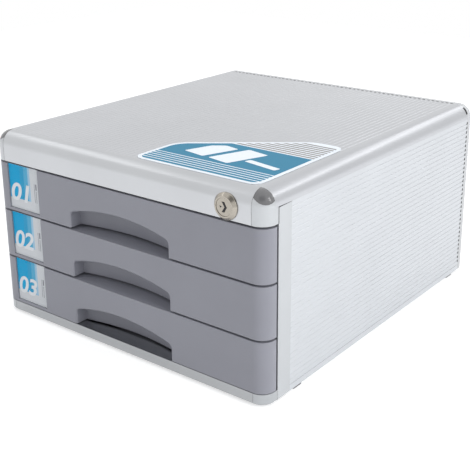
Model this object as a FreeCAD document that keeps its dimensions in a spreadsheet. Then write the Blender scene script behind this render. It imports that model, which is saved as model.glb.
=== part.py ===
import FreeCAD, Part
import os
import re
import Sketcher

# Desktop file drawer: an aluminium case with moulded corners, three moulded drawers
# and a cam lock whose sliding bar holds all the drawers shut.
# Frame: origin on the table under the middle of the part, +Z up, the drawers open
# towards -Y, +X is the viewer's right. Millimetres.

doc = FreeCAD.newDocument("desktop_file_drawer")
sheet = doc.addObject("Spreadsheet::Sheet", "sizes")

DRAWERS = ("bottom", "middle", "top")
SIDES = ("right", "left")

# Driving sizes. Every one can be changed by itself.
SIZES = (
    # case
    ("width", "300"),
    ("depth", "337"),
    ("case_height", "172"),
    ("foot_height", "2"),
    ("foot_half", "7"),
    ("foot_corner", "2"),
    ("foot_inset", "14"),
    ("edge_radius", "12"),
    ("bottom_radius", "2"),
    ("skin", "1.5"),
    ("cover_rib", "5"),
    ("panel_rib", "4.5"),
    ("groove_width", "0.8"),
    ("groove_depth", "0.35"),
    ("cover_skirt", "1.5"),
    ("overrun", "1"),
    # front of the case
    ("front_depth", "15.8"),
    ("front_wall", "2.5"),
    ("base_height", "9.6"),
    ("base_chamfer", "1.5"),
    ("base_step", "0.8"),
    ("base_step_depth", "10.2"),
    ("beam_tongue", "6"),
    ("beam_inner_radius", "7.2"),
    ("beam_height", "26.2"),
    ("corner_width", "13"),
    ("corner_pocket", "6"),
    ("cap_radius", "12"),
    ("cap_reach", "11"),
    ("cap_low_rise", "2.3"),
    ("cap_shift", "1.5"),
    ("stile_width", "16.5"),
    ("stile_wall", "3"),
    ("stile_return", "9"),
    ("stile_return_wall", "2.5"),
    # bottom, back and sides of the case
    ("rail_height", "6.5"),
    ("rail_width", "18"),
    ("plate_wall", "1.5"),
    ("rear_depth", "6"),
    ("rear_ring", "10"),
    ("rear_ring_radius", "4"),
    ("rear_panel_wall", "2"),
    ("rear_panel_inset", "2"),
    ("rear_screw_head_radius", "3"),
    ("rear_screw_head", "1.6"),
    ("rear_screw_margin", "8"),
    ("runner_wall", "3"),
    ("ledge_wall", "3"),
    ("ledge_keeper", "2"),
    ("ledge_reach", "8.3"),
    ("stop_length", "6"),
    # drawers
    ("drawer_gap", "1.8"),
    ("base_gap", "0.5"),
    ("drawer_hold", "71.8"),
    ("front_block", "20.8"),
    ("front_seat_gap", "2"),
    ("front_side_gap", "2"),
    ("front_face_wall", "3.4"),
    ("recess_half", "55.3"),
    ("recess_crown", "22"),
    ("recess_arch_radius", "196"),
    ("recess_corner", "4.5"),
    ("recess_lip", "0.9"),
    ("recess_side_depth", "11.2"),
    ("recess_sagitta", "7.3"),
    ("tray_wall", "2"),
    ("tray_side_gap", "4.2"),
    ("tray_rear_gap", "3.4"),
    ("tray_lift", "1"),
    ("tray_drop", "3"),
    ("tray_radius", "5"),
    ("rib_drop", "6.8"),
    ("rib_wall", "3"),
    ("rib_reach", "3.5"),
    ("slide_gap", "0.3"),
    ("stop_drop", "14"),
    ("stop_wall", "8"),
    # label pocket, card and clear cover
    ("label_left", "16.1"),
    ("label_width", "39.2"),
    ("label_sill", "2.6"),
    ("label_depth", "1.8"),
    ("label_card", "0.4"),
    ("label_cover", "1"),
    ("label_gap", "0.15"),
    # lock
    ("lock_inset", "36"),
    ("lock_rise", "10.2"),
    ("lock_proud", "3.2"),
    ("lock_flange_radius", "10.7"),
    ("lock_face_radius", "8.4"),
    ("lock_flange_edge", "0.8"),
    ("lock_seat", "1"),
    ("lock_barrel_radius", "6.6"),
    ("lock_barrel_rear", "4.5"),
    ("lock_plug_radius", "4.8"),
    ("lock_head_radius", "7"),
    ("lock_head", "2.4"),
    ("lock_sink", "0.4"),
    ("lock_play", "0.1"),
    ("lock_nut_flats", "15"),
    ("lock_nut_wall", "4"),
    ("lock_nut_gap", "0.3"),
    ("keyhole_length", "8"),
    ("keyhole_wall", "1.7"),
    ("keyhole_bend", "2"),
    ("keyhole_deep", "6"),
    ("cam_wall", "2"),
    ("cam_hub_radius", "6"),
    ("cam_tip_radius", "4"),
    ("cam_throw", "7"),
    ("cam_angle", "45"),
    ("cam_gap", "0.3"),
    ("cam_pin_radius", "2"),
    ("cam_pin_spare", "1"),
    ("cam_screw_radius", "3"),
    ("cam_screw_head", "2"),
    # lock bar
    ("bar_wall", "2"),
    ("bar_front", "4.5"),
    ("bar_width", "8"),
    ("bar_arm_height", "9.4"),
    ("bar_slot_play", "0.35"),
    ("bar_end", "3"),
    ("bar_tail", "5"),
    ("finger_gap", "0.7"),
    ("finger_height", "7"),
    ("finger_lift", "1"),
    ("lug_height", "7"),
    ("lug_rise", "5.5"),
    ("lug_depth", "4.8"),
    ("lug_gap", "0.7"),
    ("guide_wall", "1.3"),
    ("guide_height", "8"),
    ("guide_play", "0.3"),
    # adhesive badge on the top
    ("sticker_wall", "0.3"),
    ("sticker_left", "9"),
    ("sticker_right", "17"),
    ("sticker_front", "0.5"),
    ("sticker_short", "52"),
    ("sticker_long", "121"),
    ("sticker_crown", "30"),
    ("sticker_small_radius", "10"),
    ("sticker_large_radius", "24"),
)

NAMES = [name for name, number in SIZES]
for row, (name, number) in enumerate(SIZES, start=1):
    sheet.set(f"A{row}", name)
    sheet.set(f"B{row}", number)
    sheet.setAlias(f"B{row}", name)
doc.recompute()

# Places that follow from the driving sizes, written in their names.
PLACES = {
    "half": "width / 2",
    "face_y": "(lock_proud - depth) / 2",
    "stile_y": "face_y + front_depth",
    "stile_end_y": "stile_y + stile_width",
    "cover_y": "face_y + edge_radius",
    "rear_y": "face_y + depth",
    "rear_ring_y": "rear_y - rear_depth",
    "body_z": "foot_height",
    "top_z": "foot_height + case_height",
    "round_z": "top_z - edge_radius",
    "skirt_z": "round_z - cover_skirt",
    "base_z": "foot_height + base_height",
    "beam_z": "top_z - beam_height",
    "drawer_pitch": f"(beam_z - base_gap - base_z) / {len(DRAWERS)}",
    "rail_z": "body_z + rail_height",
    "plate_z": "body_z + skin",
    "floor_z": "plate_z + plate_wall",
    "front_height": "drawer_pitch - drawer_gap",
    "block_y": "face_y + front_block",
    "block_half": "half - stile_return - front_side_gap",
    "front_rear_y": "stile_y - front_seat_gap",
    "tray_half": "half - stile_return - tray_side_gap",
    "tray_rear_y": "rear_ring_y - tray_rear_gap",
    "rib_half": "tray_half + rib_reach",
    "rib_rise": "front_height - tray_drop - rib_drop",
    "stop_rise": "rib_rise - stop_drop",
    "stop_y": "stile_y + drawer_hold - tray_radius - stop_wall",
    "runner_x": "half - skin - runner_wall",
    "ledge_x": "runner_x - ledge_reach",
    "lock_x": "half - lock_inset",
    "lock_z": "beam_z + lock_rise",
    "barrel_y": "stile_y + lock_barrel_rear",
    "cam_y": "barrel_y + cam_gap",
    "bar_y": "stile_y + bar_front",
    "arm_y": "bar_y + bar_width - bar_wall",
    "leg_x": "runner_x - bar_wall",
    "pin_x": "lock_x + cam_throw * cos(cam_angle)",
    "pin_z": "lock_z + cam_throw * sin(cam_angle)",
    "finger_x": "tray_half + finger_gap",
}


def formula(text):
    """The text with its places worked out down to cells of the sheet."""
    def swap(match):
        word = match.group(0)
        if word in PLACES:
            return "(" + formula(PLACES[word]) + ")"
        if word in NAMES:
            return "sizes." + word
        return word
    return re.sub(r"[a-z_]+", swap, text)


def value(text):
    """The number that a formula gives now."""
    return float(sheet.evalExpression(formula(text)))


def bind(item, target, text):
    """Tie one size or place of an object to a formula."""
    item.setExpression(target, formula(text))


pieces = {}


def keep(item, label):
    """Name an object as one sub-part of the product."""
    item.Label = label
    pieces[label] = item
    return item


# Sketches and features

def new_body(name):
    body = doc.addObject("PartDesign::Body", name)
    body.AllowCompound = True
    return body


def plane(body, role):
    return [part for part in body.Origin.OriginFeatures if part.Role == role][0]


def arc_middle(start, end, radius, side):
    """Middle point of the shorter arc between two points; its centre is on that side."""
    chord = end - start
    across = FreeCAD.Vector(-chord.y, chord.x, 0).normalize()
    if side == "right":
        across = -across
    half_chord = chord.Length / 2
    rise = radius - max(radius ** 2 - half_chord ** 2, 0) ** 0.5
    return (start + end) / 2 - across * rise


def draw_loop(sketch, path):
    """A closed outline. Each item is the next corner, and an arc to it adds radius and side."""
    points = [FreeCAD.Vector(value(item[0]), value(item[1]), 0) for item in path]
    numbers = []
    for count, item in enumerate(path):
        start = points[count - 1]
        end = points[count]
        if len(item) == 2:
            numbers.append(sketch.addGeometry(Part.LineSegment(start, end)))
        else:
            middle = arc_middle(start, end, value(item[2]), item[3])
            numbers.append(sketch.addGeometry(Part.Arc(start, middle, end)))
    ends = []
    for count, number in enumerate(numbers):
        near_start = sketch.getPoint(number, 1).distanceToPoint(points[count - 1])
        far_start = sketch.getPoint(number, 2).distanceToPoint(points[count - 1])
        ends.append((1, 2) if near_start < far_start else (2, 1))
    for count, number in enumerate(numbers):
        before = numbers[count - 1]
        sketch.addConstraint(
            Sketcher.Constraint("Coincident", before, ends[count - 1][1], number, ends[count][0]))
    for count, item in enumerate(path):
        number = numbers[count]
        end = ends[count][1]
        across = sketch.addConstraint(
            Sketcher.Constraint("DistanceX", -1, 1, number, end, points[count].x))
        bind(sketch, f"Constraints[{across}]", item[0])
        along = sketch.addConstraint(
            Sketcher.Constraint("DistanceY", -1, 1, number, end, points[count].y))
        bind(sketch, f"Constraints[{along}]", item[1])
        if len(item) > 2:
            round_size = sketch.addConstraint(
                Sketcher.Constraint("Radius", number, value(item[2])))
            bind(sketch, f"Constraints[{round_size}]", item[2])


def draw_circle(sketch, across, along, radius):
    centre = FreeCAD.Vector(value(across), value(along), 0)
    number = sketch.addGeometry(
        Part.Circle(centre, FreeCAD.Vector(0, 0, 1), value(radius)))
    for kind, text, now in (("DistanceX", across, centre.x), ("DistanceY", along, centre.y)):
        tie = sketch.addConstraint(Sketcher.Constraint(kind, -1, 1, number, 3, now))
        bind(sketch, f"Constraints[{tie}]", text)
    tie = sketch.addConstraint(Sketcher.Constraint("Radius", number, value(radius)))
    bind(sketch, f"Constraints[{tie}]", radius)


def new_sketch(body, role, start, loops, circles=()):
    """Sketch across the axis that the role leaves out, at the place start on that axis."""
    sketch = body.newObject("Sketcher::SketchObject", "outline")
    sketch.AttachmentSupport = [(plane(body, role), "")]
    sketch.MapMode = "FlatFace"
    place = f"-({start})" if role == "XZ_Plane" else start
    bind(sketch, "AttachmentOffset.Base.z", place)
    doc.recompute()
    for path in loops:
        draw_loop(sketch, path)
    for circle in circles:
        draw_circle(sketch, *circle)
    doc.recompute()
    return sketch


def pad(body, role, start, end, loops, circles=()):
    """Material from start to end, both places on the axis across the sketch."""
    sketch = new_sketch(body, role, start, loops, circles)
    feature = body.newObject("PartDesign::Pad", "pad")
    feature.Profile = sketch
    feature.Reversed = role == "XZ_Plane"
    bind(feature, "Length", f"({end}) - ({start})")
    doc.recompute()
    return feature


def pocket(body, role, start, end, loops, circles=()):
    """Material taken away from start to end."""
    before = body.Shape.Volume
    sketch = new_sketch(body, role, start, loops, circles)
    feature = body.newObject("PartDesign::Pocket", "pocket")
    feature.Profile = sketch
    feature.Reversed = role != "XZ_Plane"
    bind(feature, "Length", f"({end}) - ({start})")
    doc.recompute()
    if body.Shape.Volume >= before:
        raise ValueError(f"{body.Label}: a pocket took nothing away")
    return feature


def row(body, feature, axis, pitch, count):
    """Repeat a feature of a body at an even pitch along an axis of its sketch."""
    pattern = body.newObject("PartDesign::LinearPattern", "row")
    pattern.Originals = [feature]
    pattern.Direction = (feature.Profile[0], [axis])
    bind(pattern, "Length", f"{count - 1} * {pitch}")
    pattern.Occurrences = count
    body.Tip = pattern
    doc.recompute()
    return pattern


def straight_edges(shape, axis, at):
    """Names of the straight edges along an axis that pass through the given places."""
    found = []
    for count, edge in enumerate(shape.Edges, start=1):
        ends = [vertex.Point for vertex in edge.Vertexes]
        if len(ends) != 2 or not isinstance(edge.Curve, (Part.Line, Part.LineSegment)):
            continue
        if abs((ends[1] - ends[0]).normalize()[axis]) < 1 - Part.Precision.confusion():
            continue
        near = [abs(ends[0][other] - value(text)) < Part.Precision.approximation()
                for other, text in at.items()]
        if all(near):
            found.append(f"Edge{count}")
    return found


def edges_round_hole(shape, half_width, along, low):
    """Names of the edges at one place along Y that lie round a hole and over its foot."""
    near = Part.Precision.approximation()
    found = []
    for count, edge in enumerate(shape.Edges, start=1):
        bounds = edge.BoundBox
        flat = bounds.YLength < near and abs(bounds.YMin - value(along)) < near
        inside = max(-bounds.XMin, bounds.XMax) < value(half_width) + near
        if flat and inside and bounds.ZMax > value(low) + near:
            found.append(f"Edge{count}")
    return found


def fillet(body, radius, groups):
    """Round the straight edges named by axis and place."""
    names = []
    for axis, at in groups:
        names = names + straight_edges(body.Tip.Shape, axis, at)
    return blend(body, "Fillet", "Radius", radius, names)


def blend(body, kind, target, size, names):
    """Round or bevel the named edges of a body."""
    if not names:
        raise ValueError(f"{body.Label}: no edge to blend")
    base = body.Tip
    feature = body.newObject(f"PartDesign::{kind}", "blend")
    feature.Base = (base, names)
    bind(feature, target, size)
    doc.recompute()
    return feature


def rectangle(left, right, low, high):
    return [(left, low), (right, low), (right, high), (left, high)]


def box(name, x_span, y_span, z_span):
    item = doc.addObject("Part::Box", name)
    for target, axis, (start, end) in (
            ("Length", "x", x_span), ("Width", "y", y_span), ("Height", "z", z_span)):
        bind(item, target, f"({end}) - ({start})")
        bind(item, f"Placement.Base.{axis}", start)
    return item


def cylinder_y(name, radius, across, start, end, up):
    """Round bar along Y."""
    item = doc.addObject("Part::Cylinder", name)
    item.Placement.Rotation = FreeCAD.Rotation(FreeCAD.Vector(1, 0, 0), -90)
    bind(item, "Radius", radius)
    bind(item, "Height", f"({end}) - ({start})")
    bind(item, "Placement.Base.x", across)
    bind(item, "Placement.Base.y", start)
    bind(item, "Placement.Base.z", up)
    return item


def cut(name, base, tool):
    item = doc.addObject("Part::Cut", name)
    item.Base = base
    item.Tool = tool
    doc.recompute()
    return item


def common(name, base, tool):
    item = doc.addObject("Part::Common", name)
    item.Base = base
    item.Tool = tool
    doc.recompute()
    return item


def fuse(name, items):
    item = doc.addObject("Part::MultiFuse", name)
    item.Shapes = items
    doc.recompute()
    return item


def mirror(item, label):
    """The same piece on the other side of the middle plane."""
    copy = doc.addObject("Part::Mirroring", label)
    copy.Source = item
    copy.Normal = FreeCAD.Vector(1, 0, 0)
    doc.recompute()
    return keep(copy, label)


def both_sides(item, name):
    """Keep a right-hand piece and its mirrored left-hand one."""
    right, left = [f"{name}_{side}" for side in SIDES]
    keep(item, right)
    return mirror(item, left)


# Case

def case_outline(inset, radius, low):
    """Arch of the case seen from the front, from one foot of the arch to the other."""
    side = f"half - ({inset})"
    top = f"top_z - ({inset})"
    return [
        (side, low),
        (side, "round_z"),
        ("half - edge_radius", top, radius, "left"),
        ("-half + edge_radius", top),
        (f"-({side})", "round_z", radius, "left"),
        (f"-({side})", low),
    ]


def build_top_cover():
    body = new_body("cover")
    outer = case_outline("0", "edge_radius", "skirt_z")
    inner = [
        ("-half + skin", "skirt_z"),
        ("-half + skin", "round_z"),
        ("-half + edge_radius", "top_z - skin", "edge_radius - skin", "right"),
        ("half - edge_radius", "top_z - skin"),
        ("half - skin", "round_z", "edge_radius - skin", "right"),
        ("half - skin", "skirt_z"),
    ]
    pad(body, "XZ_Plane", "cover_y", "rear_ring_y", [outer + inner])
    flat = "(width - 2 * edge_radius)"
    ribs = round(value(f"{flat} / cover_rib"))
    pitch = f"({flat} / {ribs})"
    first = f"-half + edge_radius + {pitch}"
    groove = pocket(body, "XZ_Plane", "cover_y - overrun", "rear_ring_y + overrun", [[
        (first, "top_z - groove_depth"),
        (f"{first} + groove_width", "top_z + groove_depth"),
        (f"{first} - groove_width", "top_z + groove_depth"),
    ]])
    row(body, groove, "H_Axis", pitch, ribs - 1)
    keep(body, "top_cover")


def build_side_panels():
    """Flat panels with level grooves, like those that run along the cover."""
    body = new_body("panel")
    pad(body, "XZ_Plane", "stile_end_y", "rear_ring_y",
        [rectangle("half - skin", "half", "rail_z", "skirt_z")])
    ribs = round(value("(skirt_z - rail_z) / panel_rib"))
    pitch = f"((skirt_z - rail_z) / {ribs})"
    first = f"rail_z + {pitch}"
    groove = pocket(body, "XZ_Plane", "stile_end_y - overrun", "rear_ring_y + overrun", [[
        ("half - groove_depth", first),
        ("half + groove_depth", f"{first} - groove_width"),
        ("half + groove_depth", f"{first} + groove_width"),
    ]])
    row(body, groove, "V_Axis", pitch, ribs - 1)
    both_sides(body, "side_panel")


def build_stiles():
    body = new_body("stile")
    outline = [
        ("half - stile_return", "stile_y"),
        ("half", "stile_y"),
        ("half", "stile_end_y"),
        ("half - stile_wall", "stile_end_y"),
        ("half - stile_wall", "stile_y + stile_return_wall"),
        ("half - stile_return", "stile_y + stile_return_wall"),
    ]
    pad(body, "XY_Plane", "body_z", "skirt_z", [outline])
    fillet(body, "bottom_radius", [(1, {0: "half", 2: "body_z"})])
    both_sides(body, "front_stile")


def build_rails():
    body = new_body("rail")
    outline = [
        ("half - rail_width", "body_z"),
        ("half - bottom_radius", "body_z"),
        ("half", "body_z + bottom_radius", "bottom_radius", "left"),
        ("half", "rail_z"),
        ("half - skin", "rail_z"),
        ("half - skin", "plate_z"),
        ("half - rail_width", "plate_z"),
    ]
    pad(body, "XZ_Plane", "stile_end_y", "rear_ring_y", [outline])
    both_sides(body, "bottom_rail")


def build_base_plate():
    body = new_body("plate")
    right = [
        ("half - stile_return", "stile_y"),
        ("half - stile_return", "stile_y + stile_return_wall"),
        ("half - stile_wall", "stile_y + stile_return_wall"),
        ("half - stile_wall", "stile_end_y"),
        ("half - skin", "stile_end_y"),
        ("half - skin", "rear_ring_y"),
    ]
    left = [(f"-({across})", along) for across, along in reversed(right)]
    outline = right + left
    pad(body, "XY_Plane", "plate_z", "floor_z", [outline])
    keep(body, "base_plate")


def build_front_beam():
    body = new_body("beam")
    end = "half - corner_width"
    outline = [
        ("face_y", "beam_z"),
        ("stile_y", "beam_z"),
        ("stile_y", "beam_z + front_wall"),
        ("face_y + front_wall", "beam_z + front_wall"),
        ("face_y + front_wall", "top_z - front_wall - beam_inner_radius"),
        ("face_y + front_wall + beam_inner_radius", "top_z - front_wall",
         "beam_inner_radius", "right"),
        ("cover_y + beam_tongue", "top_z - front_wall"),
        ("cover_y + beam_tongue", "top_z - skin"),
        ("cover_y", "top_z - skin"),
        ("cover_y", "top_z"),
        ("face_y", "round_z", "edge_radius", "left"),
    ]
    pad(body, "YZ_Plane", f"-({end})", end, [outline])
    pocket(body, "XZ_Plane", "face_y - overrun", "face_y + front_wall + overrun", [],
           [("lock_x", "lock_z", "lock_barrel_radius + lock_play")])
    pocket(body, "XZ_Plane", "face_y - overrun", "face_y + lock_seat", [],
           [("lock_x", "lock_z", "lock_flange_radius + lock_play")])
    keep(body, "front_beam")


def build_front_corners():
    """Moulded end of the beam and the ball-shaped cap that closes its corner."""
    left = "half - corner_width"
    ball_x = "half - edge_radius"
    lower = new_body("corner_lower")
    pad(lower, "XY_Plane", "beam_z", "skirt_z", [[
        (left, "face_y"),
        (ball_x, "face_y"),
        ("half", "cover_y", "edge_radius", "left"),
        ("half", "stile_y"),
        (left, "stile_y"),
    ]])
    pad(lower, "XY_Plane", "skirt_z", "round_z", [[
        (left, "face_y"),
        (ball_x, "face_y"),
        ("half", "cover_y", "edge_radius", "left"),
        (left, "cover_y"),
    ]])
    strip = new_body("corner_strip")
    pad(strip, "YZ_Plane", left, ball_x, [[
        ("cover_y", "round_z"),
        ("cover_y", "top_z"),
        ("face_y", "round_z", "edge_radius", "left"),
    ]])
    ball = doc.addObject("Part::Sphere", "corner_ball")
    ball.Angle1 = 0
    ball.Angle2 = 90
    ball.Angle3 = 90
    ball.Placement.Rotation = FreeCAD.Rotation(FreeCAD.Vector(0, 0, 1), -90)
    bind(ball, "Radius", "edge_radius")
    bind(ball, "Placement.Base.x", ball_x)
    bind(ball, "Placement.Base.y", "cover_y")
    bind(ball, "Placement.Base.z", "round_z")
    hollow = box("corner_hollow", (f"{left} - overrun", "half - corner_pocket"),
                 ("face_y + corner_pocket", "stile_y + overrun"),
                 ("beam_z + front_wall", "top_z - corner_pocket"))
    whole = cut("corner_whole", fuse("corner_block", [lower, strip, ball]), hollow)
    tool = new_body("cap_outline")
    rise = "cap_low_rise + cap_radius - sqrt(cap_radius^2 - cap_reach^2)"
    right = "cap_shift + cap_reach"
    far_left = "cap_shift - cap_reach"
    top = "edge_radius + overrun"
    pad(tool, "XZ_Plane", "-2 * edge_radius", "cap_reach / 2", [[
        (far_left, rise),
        (right, rise, "cap_radius", "left"),
        (right, top),
        (far_left, top),
    ]])
    tool.Placement.Rotation = FreeCAD.Rotation(FreeCAD.Vector(0, 0, 1), 45)
    bind(tool, "Placement.Base.x", ball_x)
    bind(tool, "Placement.Base.y", "cover_y")
    bind(tool, "Placement.Base.z", "round_z")
    doc.recompute()
    both_sides(cut("corner", whole, tool), "front_corner")
    both_sides(common("cap", whole, tool), "corner_cap")


def build_base_beam():
    body = new_body("base")
    end = "half - edge_radius"
    step = "face_y + base_step_depth"
    outline = [
        ("face_y + base_chamfer", "body_z"),
        ("stile_y", "body_z"),
        ("stile_y", "body_z + front_wall"),
        ("face_y + front_wall", "body_z + front_wall"),
        ("face_y + front_wall", "base_z - base_step - front_wall"),
        ("stile_y", "base_z - base_step - front_wall"),
        ("stile_y", "base_z - base_step"),
        (step, "base_z - base_step"),
        (step, "base_z"),
        ("face_y", "base_z"),
        ("face_y", "body_z + base_chamfer"),
    ]
    pad(body, "YZ_Plane", f"-({end})", end, [outline])
    keep(body, "base_beam")


def build_base_corners():
    """Quarter-turned end of the base beam with a short straight run to the stile."""
    outline = [
        ("0 * width", "body_z"),
        ("edge_radius - base_chamfer", "body_z"),
        ("edge_radius", "body_z + base_chamfer"),
        ("edge_radius", "base_z"),
        ("0 * width", "base_z"),
    ]
    turned = new_body("base_turned")
    feature = turned.newObject("PartDesign::Revolution", "turned")
    feature.Profile = new_sketch(turned, "XZ_Plane", "0 * width", [outline])
    feature.ReferenceAxis = (feature.Profile[0], ["V_Axis"])
    feature.Angle = 90
    feature.Reversed = True
    straight = new_body("base_straight")
    pad(straight, "XZ_Plane", "0 * width", "front_depth - edge_radius", [outline])
    for body in (turned, straight):
        bind(body, "Placement.Base.x", "half - edge_radius")
        bind(body, "Placement.Base.y", "cover_y")
    doc.recompute()
    both_sides(fuse("base_end", [turned, straight]), "base_corner")


def rear_opening():
    """Opening of the rear frame, with rounded corners."""
    side = "half - rear_ring"
    low = "body_z + rear_ring"
    top = "top_z - rear_ring"
    turn = "rear_ring_radius"
    return [
        (f"{side} - {turn}", low),
        (side, f"{low} + {turn}", turn, "left"),
        (side, f"{top} - {turn}"),
        (f"{side} - {turn}", top, turn, "left"),
        (f"-({side} - {turn})", top),
        (f"-({side})", f"{top} - {turn}", turn, "left"),
        (f"-({side})", f"{low} + {turn}"),
        (f"-({side} - {turn})", low, turn, "left"),
    ]


def rear_screw_places():
    """The four screws that hold the rear panel, one in each corner."""
    across = "half - rear_ring - rear_screw_margin"
    heights = ("body_z + rear_ring + rear_screw_margin", "top_z - rear_ring - rear_screw_margin")
    return [(f"{sign}({across})", up) for sign in ("", "-") for up in heights]


def build_rear():
    body = new_body("ring")
    outer = case_outline("0", "edge_radius", "body_z + bottom_radius") + [
        ("-half + bottom_radius", "body_z", "bottom_radius", "left"),
        ("half - bottom_radius", "body_z"),
    ]
    outer = outer[1:] + [("half", "body_z + bottom_radius", "bottom_radius", "left")]
    pad(body, "XZ_Plane", "rear_ring_y", "rear_y", [outer, rear_opening()])
    keep(body, "rear_frame")
    panel = new_body("back")
    pad(panel, "XZ_Plane", "rear_y - rear_panel_inset - rear_panel_wall",
        "rear_y - rear_panel_inset", [rear_opening()])
    keep(panel, "rear_panel")
    face = "rear_y - rear_panel_inset"
    parts = []
    for across, up in rear_screw_places():
        parts.append(cylinder_y("head", "rear_screw_head_radius", across,
                                face, f"{face} + rear_screw_head", up))
    keep(fuse("screws", parts), "rear_screws")


def front_bottom(number):
    """Height of the lower edge of a drawer front, counted from the lowest drawer."""
    return f"base_z + base_gap + {number} * drawer_pitch"


def build_runners():
    """Moulded liners with a channel and a stop for each drawer."""
    body = new_body("runner")
    rear = "rear_ring_y"
    pad(body, "YZ_Plane", "runner_x", "half - skin",
        [rectangle("stile_end_y", rear, "floor_z", "skirt_z")])
    loops = []
    stops = []
    for number in range(len(DRAWERS)):
        low = front_bottom(number)
        rib = f"{low} + rib_rise"
        loops.append(rectangle("stile_end_y", rear, f"{rib} - slide_gap - ledge_wall",
                               f"{rib} - slide_gap"))
        loops.append(rectangle("stile_end_y", rear, f"{rib} + rib_wall + slide_gap",
                               f"{rib} + rib_wall + slide_gap + ledge_keeper"))
        stops.append(rectangle("stop_y - slide_gap - stop_length", "stop_y - slide_gap",
                               f"{low} + stop_rise", f"{low} + stop_rise + stop_wall"))
    pad(body, "YZ_Plane", "ledge_x", "runner_x", loops + stops)
    both_sides(body, "runner")


def build_feet():
    """Square rubber pads with cut corners under the rails."""
    across = "half - rail_width / 2"
    near = "foot_half - foot_corner"
    outline = [
        (f"-({near})", "-foot_half"),
        (near, "-foot_half"),
        ("foot_half", f"-({near})"),
        ("foot_half", near),
        (near, "foot_half"),
        (f"-({near})", "foot_half"),
        ("-foot_half", near),
        ("-foot_half", f"-({near})"),
    ]
    for side, sign in (("right", ""), ("left", "-")):
        for end, along in (("front", "stile_end_y + foot_inset"),
                           ("rear", "rear_ring_y - foot_inset")):
            name = f"foot_{end}_{side}"
            foot = new_body("rubber_pad")
            pad(foot, "XY_Plane", "0 * width", "foot_height", [outline])
            bind(foot, "Placement.Base.x", f"{sign}({across})")
            bind(foot, "Placement.Base.y", along)
            doc.recompute()
            keep(foot, name)


def build_sticker():
    """Thin badge with a slanting rear edge, wrapped in a rounded outline."""
    body = new_body("badge")
    front = "cover_y + sticker_front"
    right = "half - sticker_right"
    outline = [
        ("sticker_left", front),
        (right, front),
        (right, f"{front} + sticker_long"),
        (f"{right} - sticker_crown", f"{front} + sticker_long"),
        ("sticker_left", f"{front} + sticker_short"),
    ]
    pad(body, "XY_Plane", "top_z", "top_z + sticker_wall", [outline])
    fillet(body, "sticker_small_radius", [
        (2, {0: "sticker_left", 1: front}), (2, {0: right, 1: front}),
        (2, {0: right, 1: f"{front} + sticker_long"})])
    fillet(body, "sticker_large_radius", [
        (2, {0: "sticker_left", 1: f"{front} + sticker_short"}),
        (2, {0: f"{right} - sticker_crown", 1: f"{front} + sticker_long"})])
    keep(body, "top_sticker")


# Drawers

def recess_outline(low):
    """Finger recess seen from the front: straight sides, small corners, an arched top."""
    below = f"{low} - overrun"
    crown = f"{low} + recess_crown"
    inner = "(recess_arch_radius - recess_corner)"
    across = "(recess_half - recess_corner)"
    rise = f"sqrt({inner}^2 - {across}^2)"
    spring = f"{crown} - recess_arch_radius + {rise}"
    touch_x = f"{across} * recess_arch_radius / {inner}"
    touch_z = f"{crown} - recess_arch_radius + {rise} * recess_arch_radius / {inner}"
    return [
        ("-recess_half", below),
        ("recess_half", below),
        ("recess_half", spring),
        (touch_x, touch_z, "recess_corner", "left"),
        (f"-({touch_x})", touch_z, "recess_arch_radius", "left"),
        ("-recess_half", spring, "recess_corner", "left"),
    ]


def build_drawer_front(name, low):
    body = new_body("front")
    high = f"{low} + front_height"
    outline = [
        ("-half", "cover_y"),
        ("-half + edge_radius", "face_y", "edge_radius", "left"),
        ("half - edge_radius", "face_y"),
        ("half", "cover_y", "edge_radius", "left"),
        ("half", "front_rear_y"),
        ("block_half", "front_rear_y"),
        ("block_half", "block_y"),
        ("-block_half", "block_y"),
        ("-block_half", "front_rear_y"),
        ("-half", "front_rear_y"),
    ]
    pad(body, "XY_Plane", low, high, [outline])
    pocket(body, "XZ_Plane", "face_y - overrun", "block_y + overrun", [recess_outline(low)])
    blend(body, "Chamfer", "Size", "recess_lip",
          edges_round_hole(body.Tip.Shape, "recess_half", "face_y", low))
    wing = "recess_half + front_wall"
    rear_wall_y = "face_y + recess_side_depth"
    bow = "((recess_half + front_wall)^2 + recess_sagitta^2) / (2 * recess_sagitta)"
    pad(body, "XY_Plane", low, f"{low} + recess_crown + front_wall", [[
        (f"-({wing})", rear_wall_y),
        (wing, rear_wall_y, bow, "right"),
        (wing, "block_y"),
        (f"-({wing})", "block_y"),
    ]])
    roof = f"{high} - front_wall"
    outer = "block_half - front_wall"
    chambers = [
        rectangle(f"{wing} + front_wall", outer, f"{low} + front_wall", roof),
        rectangle(f"-({outer})", f"-({wing} + front_wall)", f"{low} + front_wall", roof),
        rectangle(f"-({wing})", wing, f"{low} + recess_crown + front_wall", roof),
    ]
    pocket(body, "XZ_Plane", "face_y + front_face_wall", "block_y + overrun", chambers)
    pocket(body, "XZ_Plane", "face_y - overrun", "face_y + label_depth", [
        rectangle("-half + label_left", "-half + label_left + label_width",
                  f"{low} + label_sill", f"{high} + overrun")])
    keep(body, f"{name}_front")


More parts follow.
